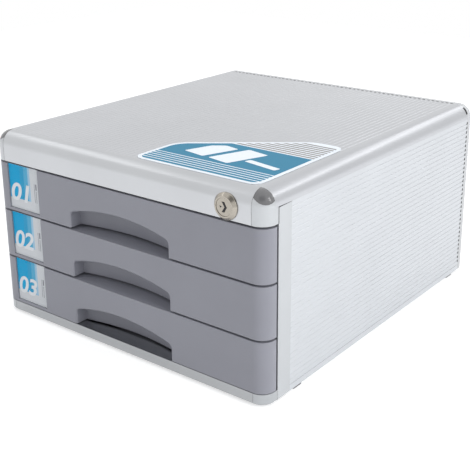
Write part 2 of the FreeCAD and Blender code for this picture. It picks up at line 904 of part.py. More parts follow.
def build_drawer_tray(name, low):
    body = new_body("tray")
    base = f"{low} + tray_lift"
    rim = f"{low} + front_height - tray_drop"
    inner = "tray_half - tray_wall"
    pad(body, "XY_Plane", base, rim,
        [rectangle("-tray_half", "tray_half", "block_y", "tray_rear_y")])
    fillet(body, "tray_radius", [
        (2, {0: "tray_half", 1: "tray_rear_y"}), (2, {0: "-tray_half", 1: "tray_rear_y"})])
    turn = "tray_radius - tray_wall"
    rear = "tray_rear_y - tray_wall"
    front = "block_y + tray_wall"
    pocket(body, "XY_Plane", f"{base} + tray_wall", f"{rim} + overrun", [[
        (f"-({inner})", front),
        (inner, front),
        (inner, f"{rear} - ({turn})"),
        (f"{inner} - ({turn})", rear, turn, "left"),
        (f"-({inner} - ({turn}))", rear),
        (f"-({inner})", f"{rear} - ({turn})", turn, "left"),
    ]])
    keep(body, f"{name}_tray")


def build_drawer_strips(name, low):
    """Slide strips, rear stops and the catch for the lock, all fixed to the tray's sides."""
    rib = f"{low} + rib_rise"
    rear = "tray_rear_y - tray_radius"
    strip = new_body("strip")
    pad(strip, "YZ_Plane", "tray_half", "rib_half",
        [rectangle("stile_end_y", rear, rib, f"{rib} + rib_wall")])
    both_sides(strip, f"{name}_strip")
    along = (f"{rear} - stop_wall", rear)
    up = (f"{low} + stop_rise", f"{low} + stop_rise + stop_wall")
    stops = [box("stop_right", ("tray_half", "rib_half"), along, up),
             box("stop_left", ("-rib_half", "-tray_half"), along, up)]
    keep(fuse("stop_pair", stops), f"{name}_stops")
    catch = new_body("catch")
    front = "bar_y + bar_width + lug_gap"
    pad(catch, "YZ_Plane", "tray_half", "rib_half",
        [rectangle(front, f"{front} + lug_depth", f"{low} + lug_rise",
                   f"{low} + lug_rise + lug_height")])
    keep(catch, f"{name}_catch")


def build_label(name, low):
    left = "-half + label_left + label_gap"
    right = "-half + label_left + label_width - label_gap"
    z_span = (f"{low} + label_sill + label_gap", f"{low} + front_height - label_gap")
    seat = "face_y + label_depth"
    card = box("card", (left, right), (f"{seat} - label_card", seat), z_span)
    keep(card, f"{name}_label_card")
    cover = box("cover", (left, right),
                (f"{seat} - label_card - label_cover", f"{seat} - label_card"), z_span)
    keep(cover, f"{name}_label_cover")


# Lock

def build_lock_housing():
    """Flange with a bevelled rim, threaded barrel and a stepped bore for the plug."""
    body = new_body("housing")
    front = "face_y - lock_proud"
    sketch_side = [
        ("lock_head_radius + lock_play", front),
        ("lock_face_radius", front),
        ("lock_flange_radius", "face_y - lock_flange_edge"),
        ("lock_flange_radius", "face_y + lock_seat"),
        ("lock_barrel_radius", "face_y + lock_seat"),
        ("lock_barrel_radius", "barrel_y"),
        ("lock_plug_radius + lock_play", "barrel_y"),
        ("lock_plug_radius + lock_play", f"{front} + lock_sink + lock_head + lock_play"),
        ("lock_head_radius + lock_play", f"{front} + lock_sink + lock_head + lock_play"),
    ]
    spin(body, sketch_side)
    keep(body, "lock_housing")


def spin(body, outline):
    """Turn a half outline, radius against place along Y, into a round piece on the lock axis."""
    sketch = new_sketch(body, "XY_Plane", "0 * width", [outline])
    feature = body.newObject("PartDesign::Revolution", "turned")
    feature.Profile = sketch
    feature.ReferenceAxis = (sketch, ["V_Axis"])
    feature.Angle = 360
    doc.recompute()
    bind(body, "Placement.Base.x", "lock_x")
    bind(body, "Placement.Base.z", "lock_z")
    doc.recompute()
    return feature


def build_lock_nut():
    body = new_body("nut")
    flats = "lock_nut_flats / 2"
    tip = "lock_nut_flats / sqrt(3)"
    outline = [
        (f"-({tip}) / 2", f"-({flats})"),
        (f"({tip}) / 2", f"-({flats})"),
        (tip, "0 * width"),
        (f"({tip}) / 2", flats),
        (f"-({tip}) / 2", flats),
        (f"-({tip})", "0 * width"),
    ]
    front = "face_y + front_wall + lock_nut_gap"
    pad(body, "XZ_Plane", front, f"{front} + lock_nut_wall", [outline],
        [("0 * width", "0 * width", "lock_barrel_radius + lock_play")])
    bind(body, "Placement.Base.x", "lock_x")
    bind(body, "Placement.Base.z", "lock_z")
    doc.recompute()
    keep(body, "lock_nut")


def build_lock_plug():
    """Turning plug with a bent keyhole in its face."""
    body = new_body("plug")
    front = "face_y - lock_proud + lock_sink"
    spin(body, [
        ("0 * width", front),
        ("lock_head_radius", front),
        ("lock_head_radius", f"{front} + lock_head"),
        ("lock_plug_radius", f"{front} + lock_head"),
        ("lock_plug_radius", "cam_y"),
        ("0 * width", "cam_y"),
    ])
    tall = "keyhole_length / 2"
    thick = "keyhole_wall"
    slot = [
        ("-keyhole_bend / 2", f"-({tall})"),
        (f"-keyhole_bend / 2 + {thick}", f"-({tall})"),
        (f"keyhole_bend / 2 + {thick}", "0 * width"),
        (f"-keyhole_bend / 2 + {thick}", tall),
        ("-keyhole_bend / 2", tall),
        ("keyhole_bend / 2", "0 * width"),
    ]
    pocket(body, "XZ_Plane", f"{front} - overrun", f"{front} + keyhole_deep", [slot])
    keep(body, "lock_plug")


def turned_by_cam(item):
    """Set a piece drawn along +X at the cam's angle at rest."""
    item.Placement.Rotation = FreeCAD.Rotation(FreeCAD.Vector(0, 1, 0), -value("cam_angle"))
    bind(item, "Placement.Base.x", "lock_x")
    bind(item, "Placement.Base.z", "lock_z")
    doc.recompute()


def build_lock_cam():
    """Lever on the rear of the plug, with the pin that drives the bar."""
    body = new_body("cam")
    rear = "cam_y + cam_wall"
    lean = "(cam_hub_radius - cam_tip_radius) / cam_throw"
    level = f"sqrt(1 - ({lean})^2)"
    outline = [
        (f"cam_hub_radius * {lean}", f"-cam_hub_radius * {level}"),
        (f"cam_throw + cam_tip_radius * {lean}", f"-cam_tip_radius * {level}"),
        ("cam_throw + cam_tip_radius", "0 * width", "cam_tip_radius", "left"),
        (f"cam_throw + cam_tip_radius * {lean}", f"cam_tip_radius * {level}",
         "cam_tip_radius", "left"),
        (f"cam_hub_radius * {lean}", f"cam_hub_radius * {level}"),
        ("-cam_hub_radius", "0 * width", "cam_hub_radius", "left"),
    ]
    outline[0] = outline[0] + ("cam_hub_radius", "left")
    pad(body, "XZ_Plane", "cam_y", rear, [outline])
    pad(body, "XZ_Plane", rear, "arm_y + bar_wall + cam_pin_spare", [],
        [("cam_throw", "0 * width", "cam_pin_radius")])
    turned_by_cam(body)
    keep(body, "lock_cam")
    screw = cylinder_y("cam_screw", "cam_screw_radius", "lock_x", rear,
                       f"{rear} + cam_screw_head", "lock_z")
    keep(screw, "lock_cam_screw")


def build_lock_bar():
    """Bent strip: a slotted arm that the cam lifts, a leg and a finger for each drawer."""
    body = new_body("bar")
    arm_low = "pin_z - bar_arm_height / 2"
    arm_high = "pin_z + bar_arm_height / 2"
    slot_low = "pin_z - cam_pin_radius - bar_slot_play"
    slot_high = "pin_z + cam_pin_radius + bar_slot_play"
    slot_left = "pin_x - cam_pin_radius - bar_slot_play"
    slot_right = "lock_x + cam_throw + cam_pin_radius + bar_slot_play"
    arm = rectangle(f"{slot_left} - bar_end", "runner_x", arm_low, arm_high)
    slot = rectangle(slot_left, slot_right, slot_low, slot_high)
    pad(body, "XZ_Plane", "arm_y", "arm_y + bar_wall", [arm, slot])
    foot = f"{front_bottom(0)} + bar_tail"
    pad(body, "YZ_Plane", "leg_x", "runner_x",
        [rectangle("bar_y", "bar_y + bar_width", foot, arm_high)])
    fingers = []
    for number in range(len(DRAWERS)):
        low = f"{front_bottom(number)} + lug_rise + lug_height + finger_lift"
        fingers.append(rectangle("finger_x", "leg_x", low, f"{low} + finger_height"))
    pad(body, "XZ_Plane", "arm_y", "arm_y + bar_wall", fingers)
    keep(body, "lock_bar")


def build_bar_guides():
    """Two loops on the right stile that the leg of the bar slides through."""
    for name, number in (("lower", 1), ("upper", len(DRAWERS))):
        body = new_body("guide")
        low = f"{front_bottom(number)} - drawer_gap - guide_height"
        outer = rectangle("leg_x - guide_play - guide_wall", "half - stile_wall",
                          "stile_y + stile_return_wall",
                          "bar_y + bar_width + guide_play + guide_wall")
        hole = rectangle("leg_x - guide_play", "runner_x + guide_play",
                         "bar_y - guide_play", "bar_y + bar_width + guide_play")
        pad(body, "XY_Plane", low, f"{low} + guide_height", [outer, hole])
        keep(body, f"bar_guide_{name}")


def build_all():
    build_top_cover()
    build_side_panels()
    build_stiles()
    build_rails()
    build_base_plate()
    build_front_beam()
    build_front_corners()
    build_base_beam()
    build_base_corners()
    build_rear()
    build_runners()
    build_feet()
    build_sticker()
    for number, place in enumerate(DRAWERS):
        name = f"drawer_{place}"
        low = front_bottom(number)
        build_drawer_front(name, low)
        build_drawer_tray(name, low)
        build_drawer_strips(name, low)
        build_label(name, low)
    build_lock_housing()
    build_lock_nut()
    build_lock_plug()
    build_lock_cam()
    build_lock_bar()
    build_bar_guides()
    doc.recompute()


def write_pieces():
    """Check every object of the document, then write one STEP file for each sub-part."""
    for item in doc.Objects:
        if "Invalid" in item.State or "Error" in item.State:
            raise ValueError(f"{item.Name} failed: {item.State}")
    for label, item in pieces.items():
        if item.Shape.isNull() or not item.Shape.isValid():
            raise ValueError(f"{label} has no valid shape")
    os.makedirs("parts", exist_ok=True)
    for label, item in pieces.items():
        item.Shape.exportStep(f"parts/{label}.step")
        bounds = item.Shape.BoundBox
        print(f"{label}: {len(item.Shape.Solids)} solid, {item.Shape.Volume:.0f} mm3,"
              f" x {bounds.XMin:.2f} {bounds.XMax:.2f}, y {bounds.YMin:.2f} {bounds.YMax:.2f},"
              f" z {bounds.ZMin:.2f} {bounds.ZMax:.2f}")


build_all()
write_pieces()
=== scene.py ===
from math import cos, pi, radians, sin

import bmesh
import bpy
from mathutils import Matrix, Vector


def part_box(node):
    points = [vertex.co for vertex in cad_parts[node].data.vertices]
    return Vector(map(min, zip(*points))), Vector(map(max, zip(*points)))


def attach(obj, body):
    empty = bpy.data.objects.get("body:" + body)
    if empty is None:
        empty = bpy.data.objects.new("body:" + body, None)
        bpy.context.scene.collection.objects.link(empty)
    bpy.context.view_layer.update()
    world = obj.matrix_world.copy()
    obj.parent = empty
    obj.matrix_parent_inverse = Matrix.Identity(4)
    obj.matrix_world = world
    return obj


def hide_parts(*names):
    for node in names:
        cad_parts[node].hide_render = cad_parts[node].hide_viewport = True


bl_info = {
    "name": "Desktop File Drawer",
    "version": (1, 0, 0),
    "blender": (4, 5, 0),
    "location": "View3D > Sidebar > File Drawer",
    "description": "Finishes, printed labels, lock details and studio of a desktop file drawer",
    "category": "Object",
}

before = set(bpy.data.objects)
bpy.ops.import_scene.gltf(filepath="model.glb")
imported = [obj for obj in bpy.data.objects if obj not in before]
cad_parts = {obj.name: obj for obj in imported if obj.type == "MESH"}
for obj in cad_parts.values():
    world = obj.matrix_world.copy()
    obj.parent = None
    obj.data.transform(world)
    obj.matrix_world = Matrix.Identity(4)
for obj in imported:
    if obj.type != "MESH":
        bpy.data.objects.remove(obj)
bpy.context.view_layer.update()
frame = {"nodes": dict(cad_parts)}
NODES = frame["nodes"]
DRAWERS = ("top", "middle", "bottom")
MM = 0.001

# The extrusions' ribs, whose open ends show along the rear frame as dashes of painted shade
COVER_RIB = 5 * MM
COVER_RIB_OPENING = 2.8 * MM
COVER_RIBS_INSET = 16 * MM
PANEL_RIB = 4.5 * MM
PANEL_RIB_OPENING = 2.5 * MM
PANEL_RIBS_INSET = 3 * MM

# Where the painted shade in the hollow of the cover's rounded edge starts, turning up from the
# side, and its span
HOLLOW_START = radians(18)
HOLLOW_SPAN = radians(36)

# Height of the base beam's rounded foot, and of the thin lip where its seams end
BASE_ROUND = 2 * MM
BASE_LIP = 0.5 * MM

# Paler bands to the right of a label's deep blue: where each starts across the label
LABEL_BANDS = ((0.37, "#2FA3D2"), (0.50, "#5CB2D8"), (0.63, "#A9CDE6"))
LABEL_BARE_SIDE = 0.70
LABEL_BARE_FOOT = 0.23

# Ruled lines on a label: left edge, width, foot and height of each, in mm
LABEL_LINES = ((32.6, 0.5, 9.5, 17.5), (34.6, 0.6, 9.5, 11.0), (34.2, 1.6, 21.5, 5.5))

# Bands across the badge: name, layer, first place and pitch in mm, count, depth in mm, ink
BADGE_BANDS = (
    ("badge_rear_paper", 2, 77, 60, 1, 60, "white"),
    ("badge_rear_stripes", 3, 79, 4.6, 8, 2.4, "grey"),
    ("badge_front_stripes", 2, 7.0, 4.4, 5, 1.3, "white"),
)

# Corners of the sheets of paper and the bar on the badge, in mm from its near left corner
BADGE_SHEETS = (
    ((22, 38), (44, 34), (56, 66), (41, 69), (31, 62)),
    ((50, 34), (72, 30), (86, 66), (64, 70)),
    ((80, 42), (113, 36), (115, 42), (82, 48)),
)
BADGE_SHEET_CORNER = 1.5 * MM

# Corners of the keyway's painted shade, a broad angle and a wedge beside it, in mm from its
# middle
KEYWAY = (
    ((-1.9, 4.1), (0.1, 4.1), (3.0, 0), (0.1, -4.1), (-1.9, -4.1), (0.7, 0)),
    ((-3.9, 0.9), (-1.7, 0.0), (-3.3, -1.1)),
)

# Each lamp's name, place, size, power in watts, and whether polished surfaces mirror it
LAMPS = (
    ("overhead", (0.0, 0.3, 2.0), (2.2, 1.8), 14, False),
    ("front", (-1.2, -2.0, 1.3), (1.8, 1.4), 10, False),
    ("right", (2.2, -0.3, 0.9), (1.4, 1.4), 28, False),
    ("rear_strip", (0.8, 1.9, 1.35), (2.2, 0.3), 2.8, True),
    ("left_strip", (-1.5, -0.35, 1.6), (1.4, 0.2), 1.0, True),
    ("cap_light", (1.41, 0.07, 0.99), (0.24, 0.6), 2.2, True),
)
LAMPS_AIM = Vector((0, 0, 0.1))
UNLIT_CEILING = (0.35, -0.54, 0.77)

FLOOR_HALF = 1.5
FLOOR_DROP = 0.1 * MM

CAMERA_PLACE = (0.51655, -0.67068, 0.38662)
CAMERA_BEARING = radians(38.04)
CAMERA_TILT = radians(90 - 18.42)
CAMERA_ROLL = radians(-0.44)


def colour(text):
    """Linear red, green, blue and alpha of an sRGB hex value."""
    parts = [int(text[i:i + 2], 16) / 255 for i in (1, 3, 5)]
    linear = [c / 12.92 if c <= 0.04045 else ((c + 0.055) / 1.055) ** 2.4 for c in parts]
    return (*linear, 1.0)


# Settings that a user would change

def swatch(name, text, description):
    """A colour setting, from its sRGB hex value."""
    return bpy.props.FloatVectorProperty(
        name=name, description=description, subtype="COLOR", size=4, min=0, max=1,
        default=colour(text))


def length(name, millimetres, description):
    """A length setting, from its millimetres."""
    return bpy.props.FloatProperty(
        name=name, description=description, unit="LENGTH", subtype="DISTANCE",
        min=0.0, default=millimetres * MM, precision=5)


class FileDrawerColours(bpy.types.PropertyGroup):
    """Colours of the surfaces, as the eye sees them in soft daylight"""
    # The cover is the same aluminium as the panels, toned a little darker: painted shade on the
    # top.
    cover: swatch("Cover", "#C3C5C9", "Anodised aluminium of the top cover")
    panel: swatch("Panels", "#CDD0D4", "Anodised aluminium of the side panels and rails")
    beam: swatch("Front beam", "#C4C6C9", "Anodised aluminium of the front beam")
    # Painted shade: the base beam is the same aluminium as the beam above it, toned darker.
    base: swatch("Base beam", "#ADAFB1", "Anodised aluminium of the base beam")
    silver: swatch("Silver paint", "#C0C3C6", "Painted corner pieces and uprights")
    # Painted shade: the base corners are the same silver paint as the corners above them, toned
    # darker.
    base_corner: swatch("Base corners", "#B2B5B8", "Painted ends of the base beam")
    frame: swatch("Rear frame", "#BDBFC1", "Pale grey moulding round the back")
    cap: swatch("Corner caps", "#5E5E60", "Glossy grey patches of the ball corners")
    drawer: swatch("Drawer fronts", "#8E8F98", "Moulded drawer fronts and floor of the case")
    tray: swatch("Trays", "#77787E", "Trays, slide strips and stops")
    inner: swatch("Inner mouldings", "#4E4F54", "Liners, rear panel and loops of the lock bar")
    label_blue: swatch("Label blue", "#06A8DC", "Deep end of the blue on the drawer labels")
    label_paper: swatch("Label paper", "#DCDCE0", "Bare paper of the drawer labels")
    label_figure: swatch("Label figures", "#ECECF0", "Numbers of the drawer labels")
    label_grey: swatch("Label lines", "#8E8E96", "Ruled lines of the drawer labels")
    badge_blue: swatch("Badge blue", "#37809F", "Blue of the badge on top")
    badge_grey: swatch("Badge grey", "#8F8C8B", "Grey stripes of the badge")
    badge_rim: swatch("Badge border", "#E8EEF4", "Pale border and figures of the badge")
    nickel: swatch("Lock nickel", "#AFA99F", "Plating of the cam lock")
    zinc: swatch("Zinc plating", "#A9A9AB", "Plating of the screws, catches and lock bar")
    rubber: swatch("Rubber feet", "#6A6B6D", "Moulded rubber of the feet")
    # The open joints and the keyway are drawn as flat pieces in this dark tone: painted shade.
    joint: swatch("Open joints", "#2A2A2C", "Dark lines of the open joints and the keyway")


class FileDrawerSizes(bpy.types.PropertyGroup):
    """Sizes of what is printed, drawn or turned over the solids"""
    number_height: length("Number height", 17, "Height of the number on a drawer label")
    number_width: length("Number width", 25, "Width of the number on a drawer label")
    number_inset: length("Number inset", 1.2, "Place of the number from the label's left edge")
    number_rise: length("Number rise", 7, "Place of the number over the label's lower edge")
    badge_border: length("Badge border", 3.5, "Width of the pale border of the badge")
    print_lift: length("Print thickness", 0.04, "Height of a printed layer over what carries it")
    edge_radius: length("Edge radius", 12, "Radius of the cover's two long edges")
    rib_opening: length("Rib opening", 1.7, "Width of the dark openings at the ribs' rear ends")
    joint_width: length("Joint width", 0.8, "Width of the open joints behind the front corners")
    seam_width: length("Seam width", 0.2, "Width of the closed seams between fixed pieces")
    screw_radius: length("Screw radius", 3.0, "Radius of the rear screws' heads")
    screw_cross: length("Screw cross", 3.2, "Length of the cross in the rear screws' heads")


# Materials

def add(tree, kind, inputs=None, **settings):
    """Add a node, change its settings, and set its inputs or link them from other sockets."""
    node = tree.nodes.new(kind)
    for name, setting in settings.items():
        setattr(node, name, setting)
    for name, given in (inputs or {}).items():
        if isinstance(given, bpy.types.NodeSocket):
            tree.links.new(given, node.inputs[name])
        else:
            node.inputs[name].default_value = given
    return node


def new_material(name):
    """An empty material with its output, and the object's own coordinates in metres."""
    material = bpy.data.materials.new(name)
    material.use_nodes = True
    tree = material.node_tree
    tree.nodes.clear()
    output = add(tree, "ShaderNodeOutputMaterial")
    place = add(tree, "ShaderNodeTexCoord").outputs["Object"]
    return material, tree, output, place


def cells(size):
    """Noise scale at which one cell is this many millimetres across."""
    return 1 / (size * MM)


def toned(shade, share):
    """A shade made lighter or darker by a share of itself."""
    return (*(min(part * share, 1.0) for part in shade[:3]), 1.0)


def anodised_aluminium(name, base, along):
    """Extruded and clear anodised aluminium: satin, with faint drawn lines along one axis.

    The anodic layer spreads highlights into soft bands, and the die leaves lines about a
    millimetre apart that show only where the light grazes them.
    """
    material, tree, output, place = new_material(name)
    stretch = [1.0, 1.0, 1.0]
    stretch[along] = 0.01
    drawn = add(tree, "ShaderNodeMapping", {"Vector": place, "Scale": stretch}).outputs["Vector"]
    # Die lines are near 0.2 mm wide and the satin grain is finer still; drawn at 1.2 mm and
    # 0.6 mm so that the render can show them.
    lines = add(tree, "ShaderNodeTexNoise",
                {"Vector": drawn, "Scale": cells(1.2), "Detail": 2.0}).outputs["Fac"]
    clouds = add(tree, "ShaderNodeTexNoise",
                 {"Vector": place, "Scale": cells(60), "Detail": 3.0}).outputs["Fac"]
    bead = add(tree, "ShaderNodeTexNoise",
               {"Vector": place, "Scale": cells(0.6), "Detail": 1.0}).outputs["Fac"]
    relief = add(tree, "ShaderNodeMath", {0: lines, 1: bead}, operation="ADD").outputs["Value"]
    edges = add(tree, "ShaderNodeBevel", {"Radius": 0.3 * MM}, samples=4).outputs["Normal"]
    bump = add(tree, "ShaderNodeBump", {
        "Height": relief, "Strength": 0.06, "Distance": 0.05 * MM, "Normal": edges})
    shade = add(tree, "ShaderNodeMix", {
        0: clouds, 6: toned(base, 0.95), 7: toned(base, 1.05)}, data_type="RGBA")
    satin = add(tree, "ShaderNodeMapRange", {"Value": lines, "To Min": 0.27, "To Max": 0.31})
    shader = add(tree, "ShaderNodeBsdfPrincipled", {
        "Base Color": shade.outputs[2],
        "Metallic": 1.0,
        "Roughness": satin.outputs["Result"],
        "Normal": bump.outputs["Normal"],
    })
    tree.links.new(shader.outputs["BSDF"], output.inputs["Surface"])
    return material


def silver_paint(name, base):
    """Silver paint on moulded ABS: half metallic, with fine flakes under a thin clear coat."""
    material, tree, output, place = new_material(name)
    # Flakes are under 0.1 mm; drawn at 0.5 mm so that they show as a faint sparkle.
    flakes = add(tree, "ShaderNodeTexVoronoi",
                 {"Vector": place, "Scale": cells(0.5)}).outputs["Color"]
    flake = add(tree, "ShaderNodeSeparateColor", {"Color": flakes}).outputs["Red"]
    clouds = add(tree, "ShaderNodeTexNoise",
                 {"Vector": place, "Scale": cells(40), "Detail": 2.0}).outputs["Fac"]
    peel = add(tree, "ShaderNodeTexNoise",
               {"Vector": place, "Scale": cells(1.5), "Detail": 1.0}).outputs["Fac"]
    edges = add(tree, "ShaderNodeBevel", {"Radius": 0.4 * MM}, samples=4).outputs["Normal"]
    bump = add(tree, "ShaderNodeBump", {
        "Height": peel, "Strength": 0.05, "Distance": 0.05 * MM, "Normal": edges})
    shade = add(tree, "ShaderNodeMix", {
        0: clouds, 6: toned(base, 0.95), 7: toned(base, 1.05)}, data_type="RGBA")
    gloss = add(tree, "ShaderNodeMapRange", {"Value": flake, "To Min": 0.3, "To Max": 0.34})
    shader = add(tree, "ShaderNodeBsdfPrincipled", {
        "Base Color": shade.outputs[2],
        "Metallic": 0.7,
        "Roughness": gloss.outputs["Result"],
        "Coat Weight": 0.3,
        "Coat Roughness": 0.15,
        "Normal": bump.outputs["Normal"],
    })
    tree.links.new(shader.outputs["BSDF"], output.inputs["Surface"])
    return material


def moulded_plastic(name, base, roughness, grain, depth, coat=0.0):
    """Moulded ABS or polystyrene: even colour, with the spark-eroded grain of its mould.

    The grain breaks highlights into a soft sheen; broad faint clouds are flow of the melt.
    """
    material, tree, output, place = new_material(name)
    # Real grain is 0.1 mm to 0.3 mm across; it is given coarser so that the render can show it.
    fine = add(tree, "ShaderNodeTexNoise",
               {"Vector": place, "Scale": cells(grain), "Detail": 3.0}).outputs["Fac"]
    flow = add(tree, "ShaderNodeTexNoise",
               {"Vector": place, "Scale": cells(45), "Detail": 2.0}).outputs["Fac"]
    edges = add(tree, "ShaderNodeBevel", {"Radius": 0.5 * MM}, samples=4).outputs["Normal"]
    bump = add(tree, "ShaderNodeBump", {
        "Height": fine, "Strength": 0.35, "Distance": depth * MM, "Normal": edges})
    shade = add(tree, "ShaderNodeMix", {
        0: flow, 6: toned(base, 0.94), 7: toned(base, 1.06)}, data_type="RGBA")
    sheen = add(tree, "ShaderNodeMapRange", {
        "Value": fine, "To Min": roughness - 0.05, "To Max": roughness + 0.05})
    shader = add(tree, "ShaderNodeBsdfPrincipled", {
        "Base Color": shade.outputs[2],
        "Roughness": sheen.outputs["Result"],
        "IOR": 1.53,
        "Coat Weight": coat,
        "Coat Roughness": 0.14,
        "Normal": bump.outputs["Normal"],
    })
    tree.links.new(shader.outputs["BSDF"], output.inputs["Surface"])
    return material


def plated_steel(name, base, roughness):
    """Zinc plated strip steel: dull metal with the faint spangle of the bath."""
    material, tree, output, place = new_material(name)
    spangle = add(tree, "ShaderNodeTexVoronoi",
                  {"Vector": place, "Scale": cells(4)}).outputs["Color"]
    tone = add(tree, "ShaderNodeSeparateColor", {"Color": spangle}).outputs["Red"]
    # Scratches are under 0.1 mm wide; drawn at 0.8 mm so that the render can show them.
    scratches = add(tree, "ShaderNodeTexNoise",
                    {"Vector": place, "Scale": cells(0.8), "Detail": 3.0}).outputs["Fac"]
    bump = add(tree, "ShaderNodeBump",
               {"Height": scratches, "Strength": 0.1, "Distance": 0.03 * MM})
    shade = add(tree, "ShaderNodeMix", {
        0: tone, 6: toned(base, 0.92), 7: toned(base, 1.08)}, data_type="RGBA")
    dull = add(tree, "ShaderNodeMapRange", {
        "Value": tone, "To Min": roughness - 0.06, "To Max": roughness + 0.06})
    shader = add(tree, "ShaderNodeBsdfPrincipled", {
        "Base Color": shade.outputs[2],
        "Metallic": 1.0,
        "Roughness": dull.outputs["Result"],
        "Normal": bump.outputs["Normal"],
    })
    tree.links.new(shader.outputs["BSDF"], output.inputs["Surface"])
    return material


def turned_nickel(name, base, centre):
    """Nickel plated brass, turned on a lathe: warm and bright, with fine rings round its axis."""
    material, tree, output, place = new_material(name)
    moved = add(tree, "ShaderNodeMapping",
                {"Vector": place, "Location": [-part for part in centre]}).outputs["Vector"]
    # Tool marks are near 0.1 mm apart, too fine to show; drawn as broad rings 6 mm apart,
    # because the node turns once in 2 pi / 20 of its unit.
    rings = add(tree, "ShaderNodeTexWave",
                {"Vector": moved, "Scale": 1 / (20 * MM), "Distortion": 0.4},
                wave_type="RINGS", rings_direction="Y").outputs["Fac"]
    worn = add(tree, "ShaderNodeTexNoise",
               {"Vector": place, "Scale": cells(3), "Detail": 3.0}).outputs["Fac"]
    edges = add(tree, "ShaderNodeBevel", {"Radius": 0.25 * MM}, samples=4).outputs["Normal"]
    bump = add(tree, "ShaderNodeBump", {
        "Height": rings, "Strength": 0.15, "Distance": 0.03 * MM, "Normal": edges})
    shade = add(tree, "ShaderNodeMix", {
        0: worn, 6: toned(base, 0.85), 7: toned(base, 1.1)}, data_type="RGBA")
    polish = add(tree, "ShaderNodeMapRange", {"Value": worn, "To Min": 0.16, "To Max": 0.3})
    shader = add(tree, "ShaderNodeBsdfPrincipled", {
        "Base Color": shade.outputs[2],
        "Metallic": 1.0,
        "Roughness": polish.outputs["Result"],
        "Normal": bump.outputs["Normal"],
    })
    tree.links.new(shader.outputs["BSDF"], output.inputs["Surface"])
    return material


def moulded_rubber(name, base):
    """Moulded rubber: matt, with a fine pitted skin that scatters the light.

    The same matt skin in a dark tone stands for the shadow in joints and in the keyway.
    """
    material, tree, output, place = new_material(name)
    # Pits are near 0.2 mm across; drawn at 0.8 mm so that the render can show them.
    pits = add(tree, "ShaderNodeTexNoise",
               {"Vector": place, "Scale": cells(0.8), "Detail": 2.0}).outputs["Fac"]
    bump = add(tree, "ShaderNodeBump", {"Height": pits, "Strength": 0.4, "Distance": 0.1 * MM})
    shade = add(tree, "ShaderNodeMix", {
        0: pits, 6: toned(base, 0.8), 7: toned(base, 1.2)}, data_type="RGBA")
    matt = add(tree, "ShaderNodeMapRange", {"Value": pits, "To Min": 0.65, "To Max": 0.8})
    shader = add(tree, "ShaderNodeBsdfPrincipled", {
        "Base Color": shade.outputs[2],
        "Roughness": matt.outputs["Result"],
        "Normal": bump.outputs["Normal"],
    })
    tree.links.new(shader.outputs["BSDF"], output.inputs["Surface"])
    return material


def printed_label(name, ink, paper):
    """Blue ink on card: it pales to the right in upright bands, and leaves a bare foot.

    The pattern reads the print's own UV map, which runs from 0 to 1 across and up the card.
    """
    material, tree, output, place = new_material(name)
    sheet = add(tree, "ShaderNodeTexCoord").outputs["UV"]
    sides = add(tree, "ShaderNodeSeparateXYZ", {"Vector": sheet})
    bands = add(tree, "ShaderNodeValToRGB", {"Fac": sides.outputs["X"]})
    bands.color_ramp.interpolation = "CONSTANT"
    paler = [(start, colour(shade)) for start, shade in LABEL_BANDS]
    steps = [(0.0, ink), *paler, (LABEL_BARE_SIDE, paper)]
    while len(bands.color_ramp.elements) < len(steps):
        bands.color_ramp.elements.new(0.5)
    for element, (start, shade) in zip(bands.color_ramp.elements, steps):
        element.position = start
        element.color = shade
    inked = add(tree, "ShaderNodeMath", {0: sides.outputs["Y"], 1: LABEL_BARE_FOOT},
                operation="GREATER_THAN")
    print_over = add(tree, "ShaderNodeMix", {
        0: inked.outputs["Value"], 6: paper, 7: bands.outputs["Color"]}, data_type="RGBA")
    # Fibres are under 0.1 mm wide; drawn at 0.7 mm so that the render can show them.
    fibres = add(tree, "ShaderNodeTexNoise",
                 {"Vector": place, "Scale": cells(0.7), "Detail": 3.0}).outputs["Fac"]
    bump = add(tree, "ShaderNodeBump", {"Height": fibres, "Strength": 0.1, "Distance": 0.02 * MM})
    matt = add(tree, "ShaderNodeMapRange", {"Value": fibres, "To Min": 0.45, "To Max": 0.55})
    shader = add(tree, "ShaderNodeBsdfPrincipled", {
        "Base Color": print_over.outputs[2],
        "Roughness": matt.outputs["Result"],
        "Specular IOR Level": 0.15,
        "Normal": bump.outputs["Normal"],
    })
    tree.links.new(shader.outputs["BSDF"], output.inputs["Surface"])
    return material


def printing_ink(name, base, roughness):
    """Printing ink on film or card: flat colour, a little uneven where the screen left it."""
    material, tree, output, place = new_material(name)
    # The mesh of a printing screen is under 0.2 mm; drawn at 2 mm as a faint unevenness.
    screen = add(tree, "ShaderNodeTexNoise",
                 {"Vector": place, "Scale": cells(2), "Detail": 3.0}).outputs["Fac"]
    shade = add(tree, "ShaderNodeMix", {
        0: screen, 6: toned(base, 0.94), 7: toned(base, 1.06)}, data_type="RGBA")
    gloss = add(tree, "ShaderNodeMapRange", {
        "Value": screen, "To Min": roughness - 0.05, "To Max": roughness + 0.05})
    shader = add(tree, "ShaderNodeBsdfPrincipled", {
        "Base Color": shade.outputs[2],
        "Roughness": gloss.outputs["Result"],
        "Specular IOR Level": 0.15,
    })
    tree.links.new(shader.outputs["BSDF"], output.inputs["Surface"])
    return material


